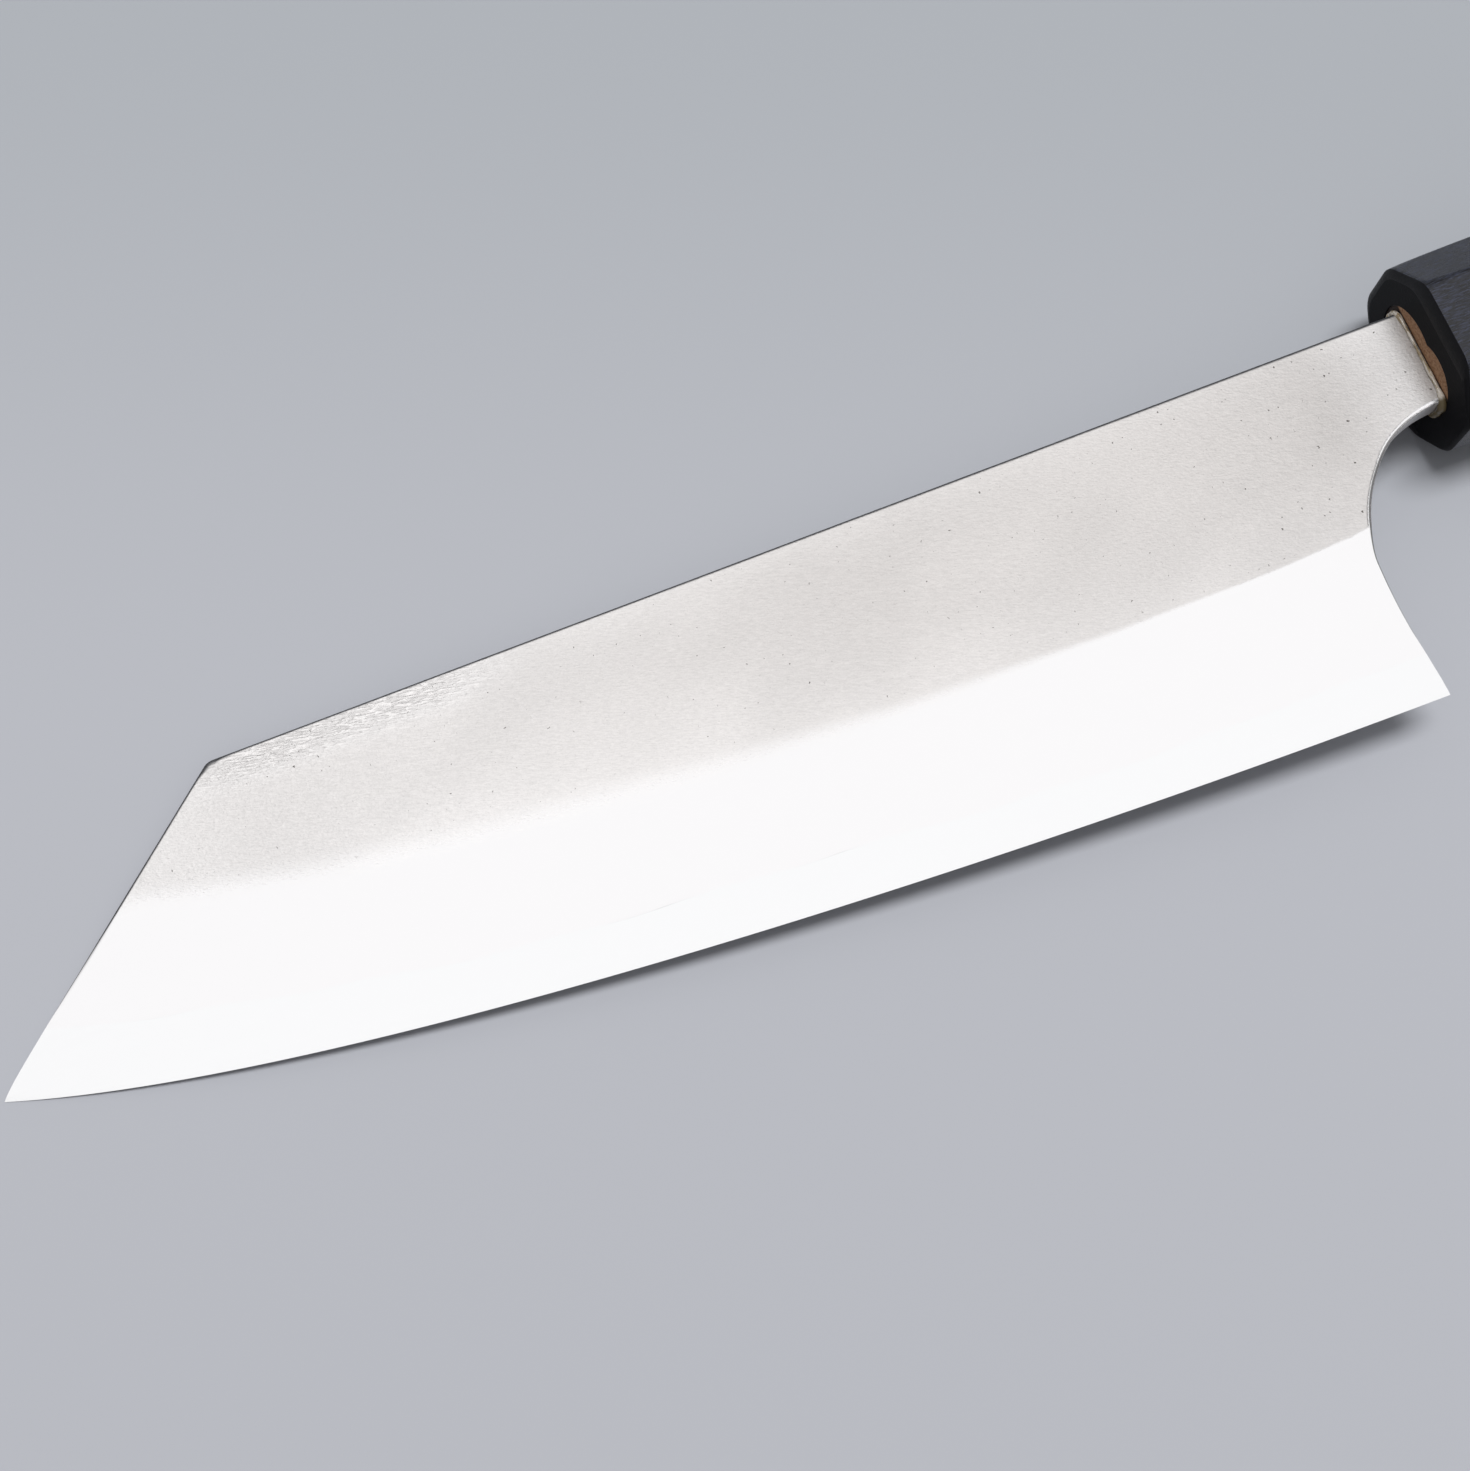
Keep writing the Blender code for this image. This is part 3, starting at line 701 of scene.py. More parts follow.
def paint_finish_and_light(data, blade):
    """Stores the five numbers that the steel's finish reads at each point: height over the bevel
    line as a share of the width over which polish fades into pear skin, the rim painted dark as
    shade, where the flat is wrinkled, how much brighter or darker its colour is (with painted
    light near the handle and towards the tip, and painted shade beside the resin), and where it
    is pitted."""
    s = bpy.context.scene.knife_blade
    points = read(data.vertices, "co") - ORIGIN
    x, y = points[:, 0], points[:, 1]
    clip = (x - TIP_X) * math.sin(s.clip_angle) - (y + s.tip_drop) * math.cos(s.clip_angle)
    from_spine = np.minimum(-y, clip + s.clip_bulge)
    middle = choil_middle()
    from_rear = np.where(y > middle, np.hypot(x, y - middle) - s.choil_radius - heel_hollow(y),
                         heel_x(y) - x)
    from_rear = np.where(x > 0, 1.0, from_rear)
    above = blade.above_line(points)
    width = s.line_width_heel + (s.line_width_tip - s.line_width_heel) * s_curve(0.03, 0.13, -x)
    ease = spine_ease(x) + blade.corner_ease(points)
    # The rim: the eased spine and clip painted dark grey, as painted shade
    rim = 1 - s_curve(0.45 * ease, 1.05 * ease, from_spine)
    rim *= 1 - s_curve(-0.004, 0.004, -above) * s_curve(0, 0.012, -above)

    # A band round the middle of the rear easing is polished like the bevel
    polished_rear = np.abs(from_rear / rear_ease(y) - 0.68) / 0.32 - 1.35
    wrinkled = hump(WRINKLED_LENGTHS, -x) * (1 - s_curve(0.002, 0.006, -y))

    # Brighter towards the bevel line, the spine and where wrinkled; painted light, brighter
    # towards the tip and near the handle; and painted shade, darker beside the resin
    at_line = 0.8 * np.exp(-np.maximum(above, 0) / 0.009)
    painted_light_at_tip = 0.6 * s_curve(0.07, 0.14, -x)
    at_spine = 0.5 * np.exp(-np.maximum(from_spine, 0) / 0.004)
    painted_light_at_neck = 1.2 * (1 - s_curve(0.003, 0.016, -x))
    painted_shade_at_resin = 2.2 * (1 - s_curve(-0.0005, 0.0035, -x))
    tone_and_painted_light = np.clip(at_line + painted_light_at_tip + 0.8 * wrinkled + at_spine + painted_light_at_neck, 0, 1.4) - painted_shade_at_resin
    pitted = 0.45 + 0.55 * (1 - s_curve(0.01, 0.045, -x))
    over_line = np.minimum(above / width, polished_rear)

    for name, values in zip(FINISH_AND_LIGHT, (over_line, rim, wrinkled, tone_and_painted_light, pitted)):
        layer = data.attributes.new(name, "FLOAT", "POINT")
        layer.data.foreach_set("value", values.astype(np.float32))


def hard_layer(name, blade):
    """Hard layer: on each side a strip from the edge's last facet up to the soft layer, hidden
    flat sides, a wall between them all round, and a cap at heel and tip."""
    s = bpy.context.scene.knife_blade
    facet = s.edge_facet / blade.bevel_height
    low = facet * np.linspace(0, 1, FACET_ROWS + 1)[:-1, None]
    high = facet + (blade.core_share - facet) * np.linspace(0, 1, CORE_ROWS + 1)[:, None]
    shares = np.concatenate([low, high])
    height = blade.over_bevel(np.maximum(shares, facet)) * np.minimum(shares / facet, 1)
    strip = with_height(blade.on_bevel(shares), height)
    foot = with_height(blade.outline, half_core(blade.outline[:, 0]))
    foot[0] = strip[-1, -1]
    foot[-1] = strip[-1, 0]
    mirror = np.array([1, 1, -1])
    shell = Shell()
    shell.grid(strip)
    shell.grid(strip * mirror)
    shell.grid(np.stack([foot, foot * mirror]))
    ring = np.concatenate([foot[:-1], strip[-1, :-1]])
    shell.lid(ring)
    shell.lid(ring * mirror)
    for column in (0, -1):
        shell.lid(np.concatenate([strip[:, column], strip[:0:-1, column] * mirror]))
    made = shell.finish(name)
    paint_finish_and_light(made.data, blade)
    return made


# Handle


def half_height(x):
    """Half of the handle's height, which grows evenly towards the butt."""
    s = bpy.context.scene.knife_handle
    return s.half_front + (HALF_BUTT_HEIGHT - s.half_front) * x / HANDLE_END


def octagon(x, inset):
    """One ring of the handle for each x: eight flats, each moved in by its inset, meeting in
    rounded edges. The flats lie square to directions 45 degrees apart, from the spine round."""
    s = bpy.context.scene.knife_handle
    turn = EIGHTH_TURN * np.arange(8)
    normal = circle(turn)
    tall = half_height(x)
    slant = (tall + HALF_HANDLE - s.corner_cut) / math.sqrt(2)
    wander = s.wander * np.sin(x[:, None] / WAVE_LENGTH + 2.3 * np.arange(8)) * s_curve(
        0, 0.004, x)[:, None]
    reach = np.stack([tall, slant, np.full_like(x, HALF_HANDLE), slant] * 2, axis=1)
    reach = reach - wander - inset
    after = np.roll(reach, -1, axis=1)
    normal_after = np.roll(normal, -1, axis=0)
    corner = np.stack([reach * normal_after[:, 1] - after * normal[:, 1],
                       after * normal[:, 0] - reach * normal_after[:, 0]], axis=-1)
    corner /= math.sin(EIGHTH_TURN)
    run = np.stack([-normal[:, 1], normal[:, 0]], axis=1)
    edge = (s.long_edge + s.front_round * np.exp(-x / s.front_reach))[:, None, None]
    trim = edge * math.tan(EIGHTH_TURN / 2)
    start = np.roll(corner, 1, axis=1) + trim * run
    end = corner - trim * run
    share = np.linspace(0, 1, SIDE_POINTS)[:, None]
    sides = start[:, :, None] + (end - start)[:, :, None] * share
    heart = corner - (normal + normal_after) * edge / (1 + math.cos(EIGHTH_TURN))
    swing = turn[:, None] + EIGHTH_TURN * np.linspace(0, 1, CORNER_POINTS + 2)[1:-1]
    arc = heart[:, :, None] + edge[..., None] * circle(swing)
    ring = np.concatenate([sides, arc], axis=2).reshape(len(x), -1, 2)
    ring[..., 0] += AXIS_Y - s.front_drop * (1 - x[:, None] / HANDLE_END)
    return ring


def lobes(directions, shrink):
    """Ring of the bore: in each direction from the pole, the further of an ellipse for the
    upper lobe and a circle for the lower one."""
    s = bpy.context.scene.knife_handle
    reach = []
    for middle, tall, wide in ((s.upper_middle, s.upper_half_height, s.upper_half_width),
                               (s.lower_middle, s.lower_radius, s.lower_radius)):
        tall, wide = tall - shrink, wide - shrink
        off = s.bore_pole - middle
        a = (directions[:, 0] / tall) ** 2 + (directions[:, 1] / wide) ** 2
        b = off * directions[:, 0] / tall ** 2
        c = (off / tall) ** 2 - 1
        reach.append((-b + np.sqrt(b * b - a * c)) / a)
    return np.array([s.bore_pole, 0]) + directions * np.maximum(*reach)[:, None]


def from_pole(ring):
    """Directions from the bore's pole to the points of a ring."""
    away = ring - np.array([bpy.context.scene.knife_handle.bore_pole, 0])
    return away / np.linalg.norm(away, axis=1)[:, None]


def lifted(ring, x):
    """A ring of (y, z) points at one x, or one ring for each x, as points in space."""
    x = np.asarray(x, float)
    if x.ndim == 0:
        return np.concatenate([np.full((len(ring), 1), x), ring], axis=1)
    ring = np.broadcast_to(ring, (len(x),) + ring.shape[-2:])
    return np.concatenate([np.broadcast_to(x[:, None, None], ring.shape[:2] + (1,)), ring], axis=2)


def flat_rings(start, end, shares, x):
    """Rings at one x, at shares of the way from one ring to another ring or to a point."""
    return [lifted(start + (end - start) * share, x) for share in shares]


def tube(name, rows, lids=False, sharp_above=50.0):
    """Rings joined into a tube, closed by a lid at each end or by a last ring on the first."""
    shell = Shell()
    shell.grid(np.array(rows), closed=True)
    if lids:
        shell.lid(rows[0])
        shell.lid(rows[-1])
    return shell.finish(name, sharp_above)


def chamfered_front():
    """Front of the ferrule, as x and eight insets a row: a hand-cut chamfer, a convex arc from
    the front face to the flats, widest on the two side flats."""
    s = bpy.context.scene.knife_handle
    turn = np.linspace(0, 1, CHAMFER_RINGS + 1)
    high, sides, low = s.chamfer_high, s.chamfer_sides, s.chamfer_low
    kinds = np.array([high, high, sides, low, low, low, sides, high])
    return s.chamfer_depth * turn ** 2.6, (1 - turn)[:, None] * kinds


def ferrule(name):
    """Horn ferrule: its bore, the rounded rim, the front face, the chamfer, the eight flats
    and the back, each a set of rings, joined end to end into one closed tube."""
    s = bpy.context.scene.knife_handle
    front_x, chamfer = chamfered_front()
    seam = s.seam_round * (1 - np.cos(QUARTER_TURN))
    run = steps(front_x[-1], FERRULE_END - s.seam_round, FERRULE_RINGS)
    tail = FERRULE_END - s.seam_round + s.seam_round * np.sin(QUARTER_TURN)[1:]
    back_inset = np.concatenate([np.zeros(len(run)), seam[1:]])[:, None] * np.ones(8)
    x = np.concatenate([front_x, run, tail])
    outer = octagon(x, np.concatenate([chamfer, back_inset]))
    directions = from_pole(outer[0])
    bore = lobes(directions, 0)
    rim = [lifted(lobes(directions, -BORE_ROUND * (1 - math.cos(turn))),
                  BORE_ROUND * (1 - math.sin(turn))) for turn in QUARTER_TURN]
    face = flat_rings(rim[-1][:, 1:], outer[0], steps(0, 1, FACE_RINGS)[:-1], 0.0)
    back = flat_rings(outer[-1], bore, steps(0, 1, 4), FERRULE_END)
    inside = lifted(bore, steps(FERRULE_END, BORE_ROUND, BORE_RINGS)[:-1])
    return tube(name, [*rim, *face, *lifted(outer, x), *back, *inside, rim[0]])


def mark_front(data):
    """Gives the flat front the second material, and the lower chamfer too, as painted shade: it is
    duller there than on the rest of the chamfer. The rest of the chamfer gets the third."""
    facing = read(data.polygons, "normal")[:, 0]
    centre = read(data.polygons, "center") - ORIGIN
    chamfer = bpy.context.scene.knife_handle.chamfer_depth
    front = (facing < -0.9) & (centre[:, 0] < 0.004 * chamfer)
    cut = (facing < -0.02) & (centre[:, 0] < chamfer)
    # Painted shade: the lower chamfer takes the front face's duller material
    low = cut & (centre[:, 1] < AXIS_Y - SHADED_CHAMFER_BELOW)
    data.polygons.foreach_set("material_index",
                              np.where(front | low, 1, 2 * cut).astype(np.int32))


def handle_body(name):
    """Ebony handle: the blind bore, the front, the eight flats, the chamfer and the butt."""
    s = bpy.context.scene.knife_handle
    bend = QUARTER_TURN[::-1]
    turn = steps(0, 1, BUTT_RINGS)
    flat_x = steps(BODY_START + s.seam_round, HANDLE_END - s.butt_chamfer, BODY_RINGS)
    x = np.concatenate([BODY_START + s.seam_round * (1 - np.sin(bend)), flat_x,
                        HANDLE_END - s.butt_chamfer * (1 - turn ** 0.9)])
    inset = np.concatenate([s.seam_round * (1 - np.cos(bend)), np.zeros(len(flat_x)),
                            s.butt_chamfer * turn ** 1.25])
    outer = octagon(x, inset[:, None])
    bore = lobes(from_pole(outer[0]), 0)
    end = PLUG_END + s.plug_gap
    floor = flat_rings(np.array([s.bore_pole, 0]), bore, np.linspace(0.1, 1, 4), end)
    inside = lifted(bore, steps(end, BODY_START, 11))
    front = flat_rings(bore, outer[0], steps(0, 1, 4)[:-1], BODY_START)
    centre = np.array([AXIS_Y, 0])
    butt = flat_rings(outer[-1], centre, steps(0, 1, FACE_RINGS)[:-1], HANDLE_END)
    return tube(name, [*floor, *inside, *front, *lifted(outer, x), *butt], lids=True)


def slot_ring(directions, x):
    """Ring of the tang's slot at x: the tang's own section, wider by the slot's gap all round,
    met by a straight line from the pole in each direction."""
    s = bpy.context.scene.knife_handle
    b = bpy.context.scene.knife_blade
    share = min(x / TANG_LENGTH, 1.0)
    wide = float(half_thickness(np.array(min(x, TANG_LENGTH)))) + s.slot_gap
    top = (AXIS_Y + b.half_tang_height) * share + s.slot_gap - s.bore_pole
    low = -b.neck_height + (AXIS_Y - b.half_tang_height + b.neck_height) * share
    low = low - s.slot_gap - s.bore_pole
    up = directions[:, 0]
    across = np.maximum(np.abs(directions[:, 1]), 1e-9)
    to_end = np.where(up > 0, top, low) / np.where(np.abs(up) < 1e-9, 1e-9, up)
    reach = np.minimum(wide / across, np.abs(to_end))
    return np.array([s.bore_pole, 0]) + directions * reach[:, None]


def wood_core(name):
    """Wood core: the blind slot for the tang, the end grain that shows, the lobed side and the
    flat back. Four of its rays go through the corners of the slot's mouth."""
    s = bpy.context.scene.knife_handle
    b = bpy.context.scene.knife_blade
    turn = np.linspace(0, 2 * np.pi, PLUG_RAYS, endpoint=False)
    wide = HALF_NECK + s.slot_gap
    for y in (s.slot_gap, -b.neck_height - s.slot_gap):
        for z in (wide, -wide):
            corner = math.atan2(z, y - s.bore_pole) % (2 * math.pi)
            turn[np.argmin(np.abs(turn - corner))] = corner
    directions = circle(turn)
    outer = lobes(directions, s.plug_gap)
    pole = np.array([s.bore_pole, 0])
    slot_end = TANG_LENGTH + s.slot_end_gap
    floor = flat_rings(pole, slot_ring(directions, slot_end), (0.2, 1), slot_end)
    inside = [lifted(slot_ring(directions, x), x)
              for x in steps(slot_end, s.plug_recess, SLOT_RINGS)]
    mouth = inside[-1][:, 1:]
    face = [lifted(mouth + (outer - mouth) * share,
                   s.plug_recess + 0.00005 * math.sin(9 * share) ** 2)
            for share in steps(0, 1, END_GRAIN_RINGS)[:-1]]
    side = lifted(outer, np.linspace(s.plug_recess, PLUG_END, 16))
    back = flat_rings(outer, pole, (0.4, 0.8, 0.95), PLUG_END)
    return tube(name, [*floor, *inside, *face, *side, *back], lids=True)


def resin_seal(name):
    """Resin bead: a round section carried round the neck's outline at the handle's front,
    thin along the sides, fuller at the spine and fullest in the drop at the heel end."""
    s = bpy.context.scene.knife_handle
    b = bpy.context.scene.knife_blade
    tall = b.neck_height / 2
    middle = -tall
    turn = np.linspace(0, 2 * np.pi, BEAD_POINTS + 1)[:-1]
    up, across = np.cos(turn), np.sin(turn)
    square = (np.abs(up) ** 5 + np.abs(across) ** 5) ** (-1 / 5)
    ring = np.stack([middle + up * square * tall, across * square * HALF_NECK], axis=1)
    ahead = np.roll(ring, -1, axis=0) - np.roll(ring, 1, axis=0)
    run = ahead / np.linalg.norm(ahead, axis=1)[:, None]
    out = np.stack([run[:, 1], -run[:, 0]], axis=1)
    out *= np.sign((out * (ring - [middle, 0])).sum(axis=1))[:, None]
    share = (ring[:, 0] - middle) / tall
    wobble = 1 + 0.16 * np.sin(7 * turn + 1) + 0.12 * np.sin(17 * turn)
    radius = (s.bead_side * wobble + s.bead_low * s_curve(-0.4, 1, -share)
              + s.bead_top * s_curve(0.72, 1, share)
              + s.bead_heel * s_curve(0.68, 1, -share) * (1 + 0.12 * np.sin(5 * turn)))
    swing = np.linspace(0, 2 * np.pi, BEAD_SIDES + 1)[:-1]
    heart = ring + out * (radius * BEAD_OUT)[:, None]
    flat = heart[:, None] + out[:, None] * (radius[:, None] * np.cos(swing))[..., None]
    x = -radius[:, None] * (BEAD_AHEAD + np.sin(swing))
    points = np.concatenate([x[..., None], flat], axis=2)
    return tube(name, [*points, points[0]], sharp_above=80.0)


# Finishes


def fill(tree, node, values):
    """Sets or links a node's inputs: a dict gives their names, a tuple goes in their order."""
    inputs = [socket for socket in node.inputs if socket.enabled]
    if isinstance(values, dict):
        inputs = [next(socket for socket in inputs if socket.name == name) for name in values]
        values = values.values()
    for socket, value in zip(inputs, values):
        if isinstance(value, bpy.types.NodeSocket):
            tree.links.new(value, socket)
        else:
            socket.default_value = value


def add(tree, kind, values, **settings):
    """Adds a node with its settings and its inputs, and gives back its first output."""
    made = tree.nodes.new(kind)
    for name, value in settings.items():
        setattr(made, name, value)
    fill(tree, made, values)
    return next(socket for socket in made.outputs if socket.enabled)


def pattern(tree, place, sizes, turn=0.0, **values):
    """Cloudy noise whose lumps have the given sizes in mm, turned about the vertical."""
    cell = add(tree, "ShaderNodeMapping", {"Vector": place, "Rotation": (0, 0, turn),
               "Scale": [size * MM for size in sizes]}, vector_type="TEXTURE")
    return add(tree, "ShaderNodeTexNoise", {"Vector": cell, "Scale": 1.0, **values})


def new_finish(name):
    """A new material with its node tree, its shader and the place on the piece."""
    made = bpy.data.materials.new(name)
    made.use_nodes = True
    tree = made.node_tree
    place = add(tree, "ShaderNodeTexCoord", ()).node.outputs["Object"]
    return made, tree, tree.nodes["Principled BSDF"], place


def finished(made, tree, shader, values, height=None):
    """Fills the shader's inputs, with a bump where there is a height in metres."""
    if height is not None:
        bump = add(tree, "ShaderNodeBump", {"Height": height, "Distance": 1.0})
        values = {**values, "Normal": bump}
    fill(tree, shader, values)
    return made


def steel_finish(name, ground):
    """Stainless steel, with the colour of its ground bevel. The flats are pear skin, blasted and
    satin: they scatter the light in short fine strokes, with soft clouds, pimples, dark pits that
    crowd at the neck, and forging wrinkles below the spine at the tip. Their colour is brighter
    towards the bevel line and the spine, painted light brightens it towards the tip and near the
    handle, and painted shade darkens it beside the resin. The bevel is ground and polished, and
    mirrors. The eased spine and clip are painted darker grey, as painted shade."""
    c = bpy.context.scene.knife_colours
    made, tree, shader, place = new_finish(name)
    over_line, rim, wrinkled, tone_and_painted_light, pitted = [
        add(tree, "ShaderNodeAttribute", (), attribute_name=key).node.outputs["Fac"]
        for key in FINISH_AND_LIGHT]
    strokes = pattern(tree, place, (1.0, 0.2, 0.5), GRAIN_TURN, Detail=3.0, Roughness=0.6)
    fine = pattern(tree, place, (0.3, 0.12, 0.3), GRAIN_TURN, Detail=2.0, Roughness=0.7)
    pimples = pattern(tree, place, (0.45, 0.3, 0.4), GRAIN_TURN, Detail=2.0)
    clouds = pattern(tree, place, (26, 15, 20), 0.3, Detail=1.0)
    wrinkles = pattern(tree, place, (1.5, 0.26, 3), WRINKLE_TURN, Detail=3.0, Distortion=0.8)
    hair = pattern(tree, place, (9, 0.07, 1))

    # Where the polish ends: a ragged border, soft over the width that the piece carries
    ragged = add(tree, MATH, (strokes, 0.9, over_line), operation="MULTIPLY_ADD")
    skin = add(tree, RAMP, (ragged, -0.3, 0.9), **SMOOTH)

    # Pits: one in each cell of 1.7 mm, most of them too small to show
    ragged_place = add(tree, "ShaderNodeVectorMath", (
        pimples.node.outputs["Color"], [0.7 * MM] * 3, place), operation="MULTIPLY_ADD")
    dots = add(tree, "ShaderNodeTexVoronoi", {"Vector": ragged_place, "Scale": 1 / (1.7 * MM)},
               voronoi_dimensions="2D")
    reach = add(tree, MATH, (dots.node.outputs["Color"], 3.5), operation="POWER")
    for share in (pitted, 0.13):
        reach = add(tree, MATH, (reach, share), operation="MULTIPLY")
    pit = add(tree, MATH, (dots, reach), operation="LESS_THAN")
    pit = add(tree, MATH, (pit, skin), operation="MULTIPLY")

    # Colour
    folds = add(tree, RAMP, (wrinkles, 0.4, 0.6, -0.5, 0.5), **SMOOTH)
    folds = add(tree, MATH, (folds, wrinkled), operation="MULTIPLY")
    # Painted light towards the tip and near the handle, painted shade beside the resin, and a
    # brighter tone at the bevel line and spine
    flat = add(tree, MIX, (tone_and_painted_light, c.pear_skin, c.pear_skin_bright), clamp_factor=False,
               **OF_COLOUR)
    for tone in (add(tree, RAMP, (clouds, 0.36, 0.64, 0.97, 1.03), **SMOOTH),
                 add(tree, RAMP, (strokes, 0.3, 0.7, 0.93, 1.05)),
                 add(tree, RAMP, (fine, 0.3, 0.7, 0.935, 1.065)),
                 add(tree, MATH, (folds, 0.15, 1.0), operation="MULTIPLY_ADD")):
        flat = add(tree, "ShaderNodeVectorMath", (flat, tone), operation="SCALE")
    flat = add(tree, MIX, (pit, flat, c.pit), **OF_COLOUR)
    base = add(tree, MIX, (skin, ground, flat), **OF_COLOUR)
    # Painted shade: the rim's dark grey along the eased spine and clip
    base = add(tree, MIX, (rim, base, c.rim), **OF_COLOUR)

    # Roughness
    satin = add(tree, RAMP, (fine, 0.25, 0.75, 0.33, 0.41))
    satin = add(tree, MATH, (pitted, 0.12, satin), operation="MULTIPLY_ADD")
    mirror = add(tree, RAMP, (hair, 0.3, 0.7, 0.13, 0.2))
    rough = add(tree, MIX, (skin, mirror, satin))

    # Height, in metres: the patterns on the skin, and a swell in the last 5 mm before the handle
    height = 0.0
    for part, depth in ((strokes, 0.014), (fine, 0.022), (pimples, 0.045), (folds, 0.022),
                        (pit, -0.04)):
        height = add(tree, MATH, (part, depth * MM, height), operation="MULTIPLY_ADD")
    height = add(tree, MATH, (height, skin), operation="MULTIPLY")
    x = add(tree, "ShaderNodeSeparateXYZ", (place,)).node.outputs["X"]
    ahead = add(tree, MATH, (x, 0.0053 - float(ORIGIN[0])), operation="ADD")
    swell = add(tree, MATH, (ahead, 0.0, 0.004), operation="SMOOTH_MAX")
    height = add(tree, MATH, (swell, 0.15, height), operation="MULTIPLY_ADD")
    return finished(made, tree, shader, {"Base Color": base, "Roughness": rough,
                                         "Metallic": 1.0}, height)


def fibrous_finish(name, base, streak, roughness, sizes, depth, gloss=0.5):
    """Black fibres along the handle, sanded and polished: low contrast streaks whose ridges
    catch the light a little more."""
    made, tree, shader, place = new_finish(name)
    fibre = pattern(tree, place, sizes, FIBRE_TURN, Detail=4.0, Roughness=0.62, Distortion=0.7)
    share = add(tree, RAMP, (fibre, 0.42, 0.7), **SMOOTH)
    mix = add(tree, MIX, (share, base, streak), **OF_COLOUR)
    rough = add(tree, RAMP, (fibre, 0.3, 0.7, roughness - 0.08, roughness + 0.1))
    height = add(tree, MATH, (fibre, depth * MM), operation="MULTIPLY")
    return finished(made, tree, shader, {"Base Color": mix, "Roughness": rough,
                                         "Specular IOR Level": gloss}, height)


def horn_finish(c):
    """Buffalo horn, sanded and polished: nearly black, with paler fibres along the handle whose
    blue tint is a painted sheen.
    """
    return fibrous_finish("polished_black_horn", c.horn, c.horn_streak_and_painted_sheen, 0.32, (1.3, 0.17, 0.17),
                          0.05)


def chamfer_finish(c):
    """Horn on the front chamfer: cut by hand, matt and darker than the polished flats."""
    return fibrous_finish("cut_black_horn", c.horn, c.horn_end, 0.5, (0.5, 0.3, 0.3), 0.03, 0.2)


def end_finish(c):
    """Horn across its fibres on the front face: sanded, matt and nearly black. It also covers
    the lower chamfer, as painted shade.
    """
    made, tree, shader, place = new_finish("sanded_horn_end_and_painted_shade")
    speck = pattern(tree, place, (0.3, 0.3, 0.3), Detail=3.0)
    mix = add(tree, MIX, (speck, c.horn, c.horn_end), **OF_COLOUR)
    height = add(tree, MATH, (speck, 0.03 * MM), operation="MULTIPLY")
    return finished(made, tree, shader, {"Base Color": mix, "Roughness": 0.6,
                                         "Specular IOR Level": 0.12}, height)


def ebony_finish(c):
    """Ebony, sanded and oiled: black with brownish fibres and fine long pores."""
    return fibrous_finish("oiled_ebony", c.ebony, c.ebony_grain, 0.42, (11, 0.3, 0.3), 0.02)


def plug_finish(c):
    """Magnolia end grain: dull brown with fine dark pores, burnt along the tang's slot."""
    made, tree, shader, place = new_finish("burnt_magnolia")
    grain = pattern(tree, place, (0.35, 0.35, 0.35), Detail=4.0, Roughness=0.65)
    share = add(tree, RAMP, (grain, 0.4, 0.66), **SMOOTH)
    wood = add(tree, MIX, (share, c.plug, c.plug_grain), **OF_COLOUR)
    z = add(tree, "ShaderNodeSeparateXYZ", (place,)).node.outputs["Z"]
    off = add(tree, MATH, (z, float(ORIGIN[2])), operation="SUBTRACT")
    off = add(tree, MATH, (off,), operation="ABSOLUTE")
    off = add(tree, MATH, (grain, 0.4 * MM, off), operation="MULTIPLY_ADD")
    edge = HALF_NECK + bpy.context.scene.knife_handle.slot_gap
    burnt = add(tree, RAMP, (off, edge + 0.6 * MM, edge + 0.2 * MM), **SMOOTH)
    mix = add(tree, MIX, (burnt, wood, c.char), **OF_COLOUR)
    height = add(tree, MATH, (grain, 0.05 * MM), operation="MULTIPLY")
    return finished(made, tree, shader, {"Base Color": mix, "Roughness": 0.7}, height)


def resin_finish(c):
    """Clear resin, hardened: tan where it is thick, glossy, and it lets some light through."""
    made, tree, shader, place = new_finish("hardened_clear_resin")
    cloud = pattern(tree, place, (0.3, 1.6, 0.3))
    share = add(tree, RAMP, (cloud, 0.4, 0.6), **SMOOTH)
    mix = add(tree, MIX, (share, c.resin, c.resin_thick), **OF_COLOUR)
    low = float(ORIGIN[1]) - bpy.context.scene.knife_blade.neck_height
    y = add(tree, "ShaderNodeSeparateXYZ", (place,)).node.outputs["Y"]
    drop = add(tree, RAMP, (y, low + 0.7 * MM, low), **SMOOTH)
    mix = add(tree, MIX, (drop, mix, c.resin_drop), **OF_COLOUR)
    return finished(made, tree, shader, {"Base Color": mix, "Roughness": 0.1, "IOR": 1.52,
                                         "Transmission Weight": 0.15})


def table_finish(c):
    """Matt laminate: blue-grey with hardly any gloss, and painted shade behind the knife."""
    made, tree, shader, place = new_finish("matt_table_top")
    turn = bpy.context.scene.knife_stage.camera_turn
    away = add(tree, "ShaderNodeMapping", {"Vector": place, "Rotation": (0, 0, turn)},
               vector_type="TEXTURE")
    y = add(tree, "ShaderNodeSeparateXYZ", (away,)).node.outputs["Y"]
    # Painted shade: a little darker behind the knife
    far = add(tree, RAMP, (y, -0.03, 0.09), **SMOOTH)
    mix = add(tree, MIX, (far, c.table, c.table_far_painted_shade), **OF_COLOUR)
    return finished(made, tree, shader, {"Base Color": mix, "Roughness": 0.85,
                                         "Specular IOR Level": 0.2})


# Operators


def dress(piece, node, slot, *finishes):
    """Gives a piece its finishes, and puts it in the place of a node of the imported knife."""
    for finish in finishes:
        piece.data.materials.append(finish)
    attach(piece, "root")
    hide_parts(node)


